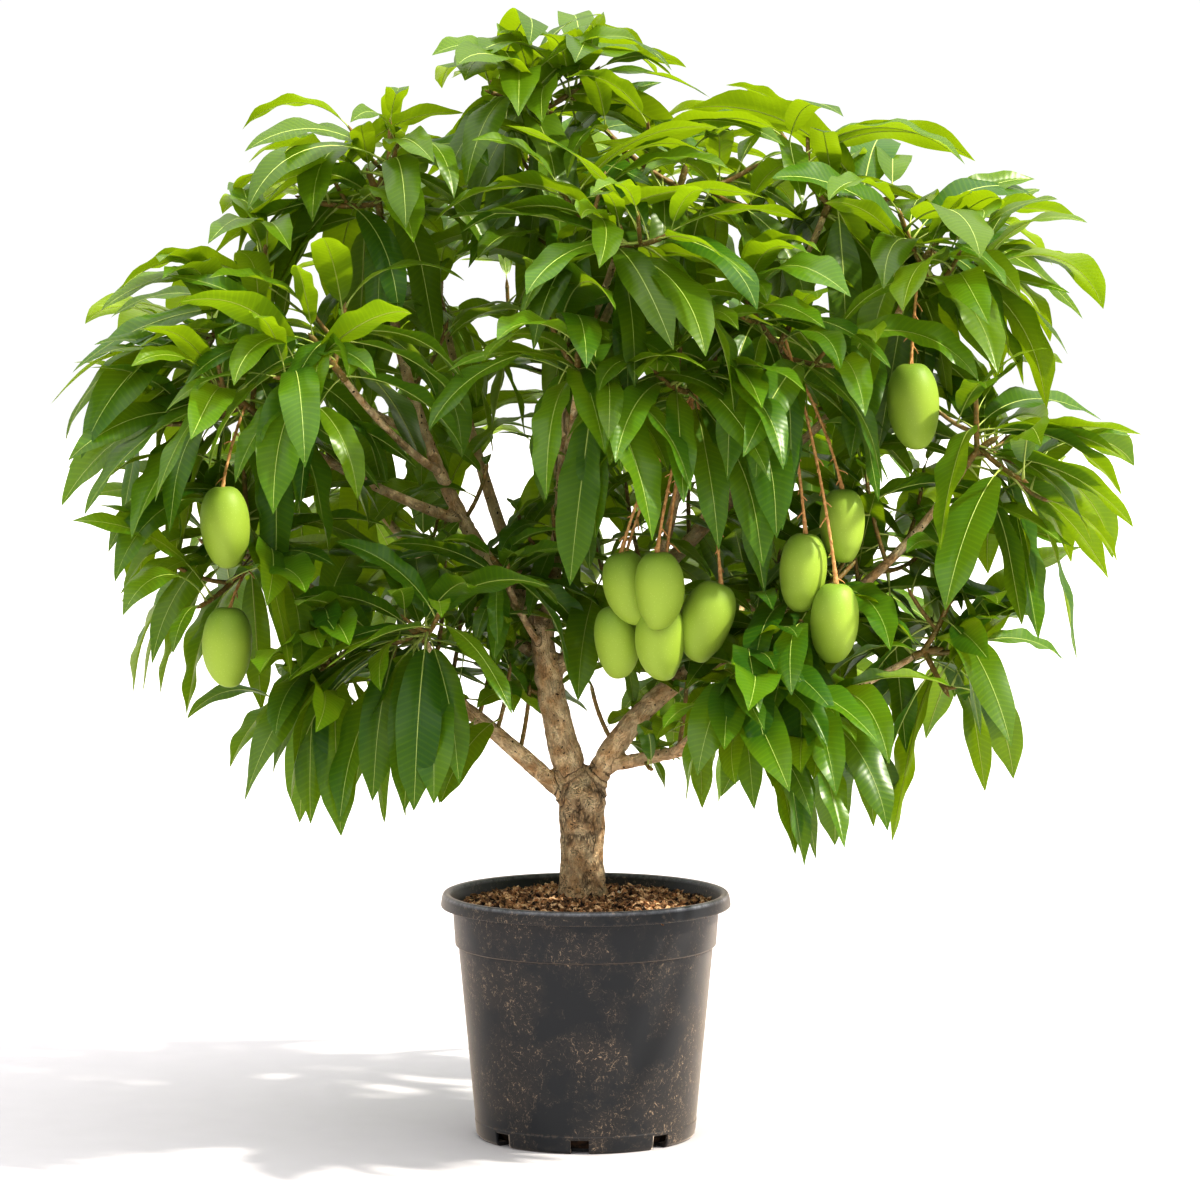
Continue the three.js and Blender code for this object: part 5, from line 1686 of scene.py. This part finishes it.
def stub_radius(share):
    return between(*STUB_RADII, share)


def add_stalk(mould, path, number):
    """A stalk with the stubs of its lost side branches."""
    add_tube(mould, path, stalk_radius(path, number), STALK_SIDES, int(path.length / STALK_RING_STEP))
    stubs = int(path.length / STUB_SPACING)
    for k in range(stubs):
        share = between(*STUB_PLACES, (k + chance(number, k, 8)) / stubs)
        start = path.at(share)
        lean = math.radians(between(*STUB_LEANS, chance(number, k, 9)))
        direction = leaning(path.tangent(share), lean, k * GOLDEN_ANGLE)
        length = between(*STUB_LENGTHS, chance(number, k, 10) ** 2)
        end = start + direction * length - UP * length * STUB_SAG
        stub = curve(start, start + direction * length * STUB_BEND, end, STUB_POINTS)
        add_tube(mould, stub, stub_radius, STUB_SIDES, STUB_RINGS)


mango_mould, stalk_mould = Mould(), Mould()
for number, mass in enumerate(masses):
    for k, (fruit, path) in enumerate(zip(mass["fruits"], mass["stalks"])):
        add_mango(mango_mould, *fruit[1:], number * MANGO_SEED_STEP + k)
        add_stalk(stalk_mould, path, number * STALK_SEED_STEP + k)
print("points of the mangoes:", mango_mould.count)

# %% [markdown]
# An unripe mango has a waxy skin, matt where its bloom is whole, with pale pores in it. It is greenest at the
# stalk and yellower on its belly. A little light enters the skin and softens its shade, so the finish has
# some subsurface light. The beak ends in a small brown scar.

# %% Fruit finishes
PORE_MM, CLOUD_MM, CORK_MM = 3.4, 45, 5


def waxy_mango_skin(tree):
    place = node(tree, "TexCoord").outputs["Object"]
    marks = node(tree, "Attribute", attribute_name="marks").outputs["Vector"]
    level = node(tree, "SeparateXYZ", {0: marks}).outputs["X"]
    clouds = node(tree, "TexNoise", {"Vector": place, "Scale": scale_of(CLOUD_MM), "Detail": 2.0})
    pores = node(tree, "TexVoronoi", {"Vector": place, "Scale": scale_of(PORE_MM)})
    pore = node(tree, "MapRange", {
        "Value": pores, "From Min": 0.12, "From Max": 0.2, "To Min": 0.4, "To Max": 0.0,
    })
    greener = node(tree, "MapRange", {"Value": level, "From Min": 0.1, "From Max": 0.95})
    greener = product(tree, greener, clouds)
    yellow, green, pale, brown = linear("#a1b748"), linear("#759640"), linear("#c3d174"), linear("#5d4a22")
    belly = node(tree, "Mix", {FACTOR: greener, COLOUR_A: yellow, COLOUR_B: green}, **MIX_COLOURS)
    dotted = node(tree, "Mix", {FACTOR: pore, COLOUR_A: belly, COLOUR_B: pale}, **MIX_COLOURS)
    scar = node(tree, "MapRange", {
        "Value": level, "From Min": -0.995, "From Max": -0.985, "To Min": 1.0, "To Max": 0.0,
    })
    ended = node(tree, "Mix", {FACTOR: scar, COLOUR_A: dotted, COLOUR_B: brown}, **MIX_COLOURS)
    return node(tree, "BsdfPrincipled", {
        "Base Color": ended, "Roughness": 0.52, "IOR": 1.42, "Subsurface Weight": 0.1,
        "Subsurface Radius": (0.9, 1.0, 0.3), "Subsurface Scale": 4 * MM,
    })


def corky_stalk(tree):
    marks = node(tree, "Attribute", attribute_name="marks").outputs["Vector"]
    grain = node(tree, "TexNoise", {"Vector": marks, "Scale": 1 / CORK_MM, "Detail": 3.0})
    share = node(tree, "MapRange", {"Value": grain, "From Min": 0.35, "From Max": 0.65})
    dark, light = linear("#b98350"), linear("#dcae78")
    mixed = node(tree, "Mix", {FACTOR: share, COLOUR_A: dark, COLOUR_B: light}, **MIX_COLOURS)
    bumps = node(tree, "Bump", {"Height": grain, "Strength": 0.5, "Distance": 0.6 * MM})
    return node(tree, "BsdfPrincipled", {
        "Base Color": mixed, "Normal": bumps, "Roughness": 0.6, "IOR": 1.45,
    })


mango_finish = material("waxy_mango_skin", waxy_mango_skin)
stalk_finish = material("corky_fruit_stalk", corky_stalk)
dress(mango_mould.cast("mangoes", mango_finish), "foliage", *foliage_nodes)
dress(stalk_mould.cast("fruit_stalks", stalk_finish), "foliage", *foliage_nodes)

# %% [markdown]
# ## Floor and light
#
# The floor is pale and plain. The sky is white near the horizon, a little dimmer above it and brightest
# overhead, so the tree stands out by its own colours and its top is well lit. One sun, high on the right and
# a little in front, is slightly larger than the real one, which softens the edges of the dappled shadow.

# %% Lay the floor and hang the sun
SUN_STRENGTH, SUN_WIDTH = 5.3, math.radians(2.2)
HORIZON_LIGHT, SIDE_LIGHT, TOP_LIGHT = 1.02, 0.92, 2.15
FLOOR_SIZE = 40.0
PICTURE_GAMMA = 0.8  # below 1, it deepens the shade and leaves white as it is


def plain_floor(tree):
    place = node(tree, "TexCoord").outputs["Object"]
    grain = node(tree, "TexNoise", {"Vector": place, "Scale": scale_of(60), "Detail": 4.0})
    darker, lighter = linear("#bcb9bb"), linear("#c1bec0")
    shade = node(tree, "Mix", {FACTOR: grain, COLOUR_A: darker, COLOUR_B: lighter}, **MIX_COLOURS)
    return node(tree, "BsdfPrincipled", {"Base Color": shade, "Roughness": 0.9})


half = FLOOR_SIZE / 2
corners = [(-half, -half, 0), (half, -half, 0), (half, half, 0), (-half, half, 0)]
floor_mesh = bpy.data.meshes.new("floor")
floor_mesh.from_pydata(corners, [], [(0, 1, 2, 3)])
floor_mesh.materials.append(material("plain_floor", plain_floor))
floor = bpy.data.objects.new("floor", floor_mesh)
scene.collection.objects.link(floor)
floor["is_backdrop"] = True

sun_data = bpy.data.lights.new("sun", "SUN")
sun_data.energy, sun_data.angle, sun_data.color = SUN_STRENGTH, SUN_WIDTH, (1.0, 0.955, 0.86)
sun = bpy.data.objects.new("sun", sun_data)
sun.rotation_euler = SUN_TRAVEL.to_track_quat("-Z", "Y").to_euler()
scene.collection.objects.link(sun)

world = bpy.data.worlds.new("studio_sky")
world.use_nodes = True
sky = world.node_tree
upward = node(sky, "SeparateXYZ", {0: node(sky, "TexCoord").outputs["Generated"]}).outputs["Z"]
horizon = node(sky, "MapRange", {
    "Value": upward, "From Min": 0.05, "From Max": 0.12, "To Min": HORIZON_LIGHT, "To Max": SIDE_LIGHT,
})
overhead = node(sky, "MapRange", {
    "Value": upward, "From Min": 0.35, "From Max": 0.9, "To Min": 0.0, "To Max": TOP_LIGHT,
})
strength = node(sky, "Math", {0: horizon, 1: overhead}, operation="ADD")
sky.links.new(strength.outputs[0], sky.nodes["Background"].inputs["Strength"])
sky.nodes["Background"].inputs["Color"].default_value = linear("#ffffff")
scene.world = world
scene.view_settings.view_transform = "Standard"
scene.view_settings.gamma = PICTURE_GAMMA
print("sun and sky are set")

# %% [markdown]
# ## Compare sizes
#
# The dressed tree is meant to stay as large as its frame. For each axis, how far the ends of the dressed tree
# have moved from the frame's ends is printed.

# %% Compare sizes and finish
dressed_box = [list(corner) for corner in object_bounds()]
for axis, name in enumerate("xyz"):
    grown = [dressed_box[end][axis] - cad_box[end][axis] for end in (0, 1)]
    print("%s: low end moved %.0f mm, high end %.0f mm" % (name, grown[0] / MM, grown[1] / MM))
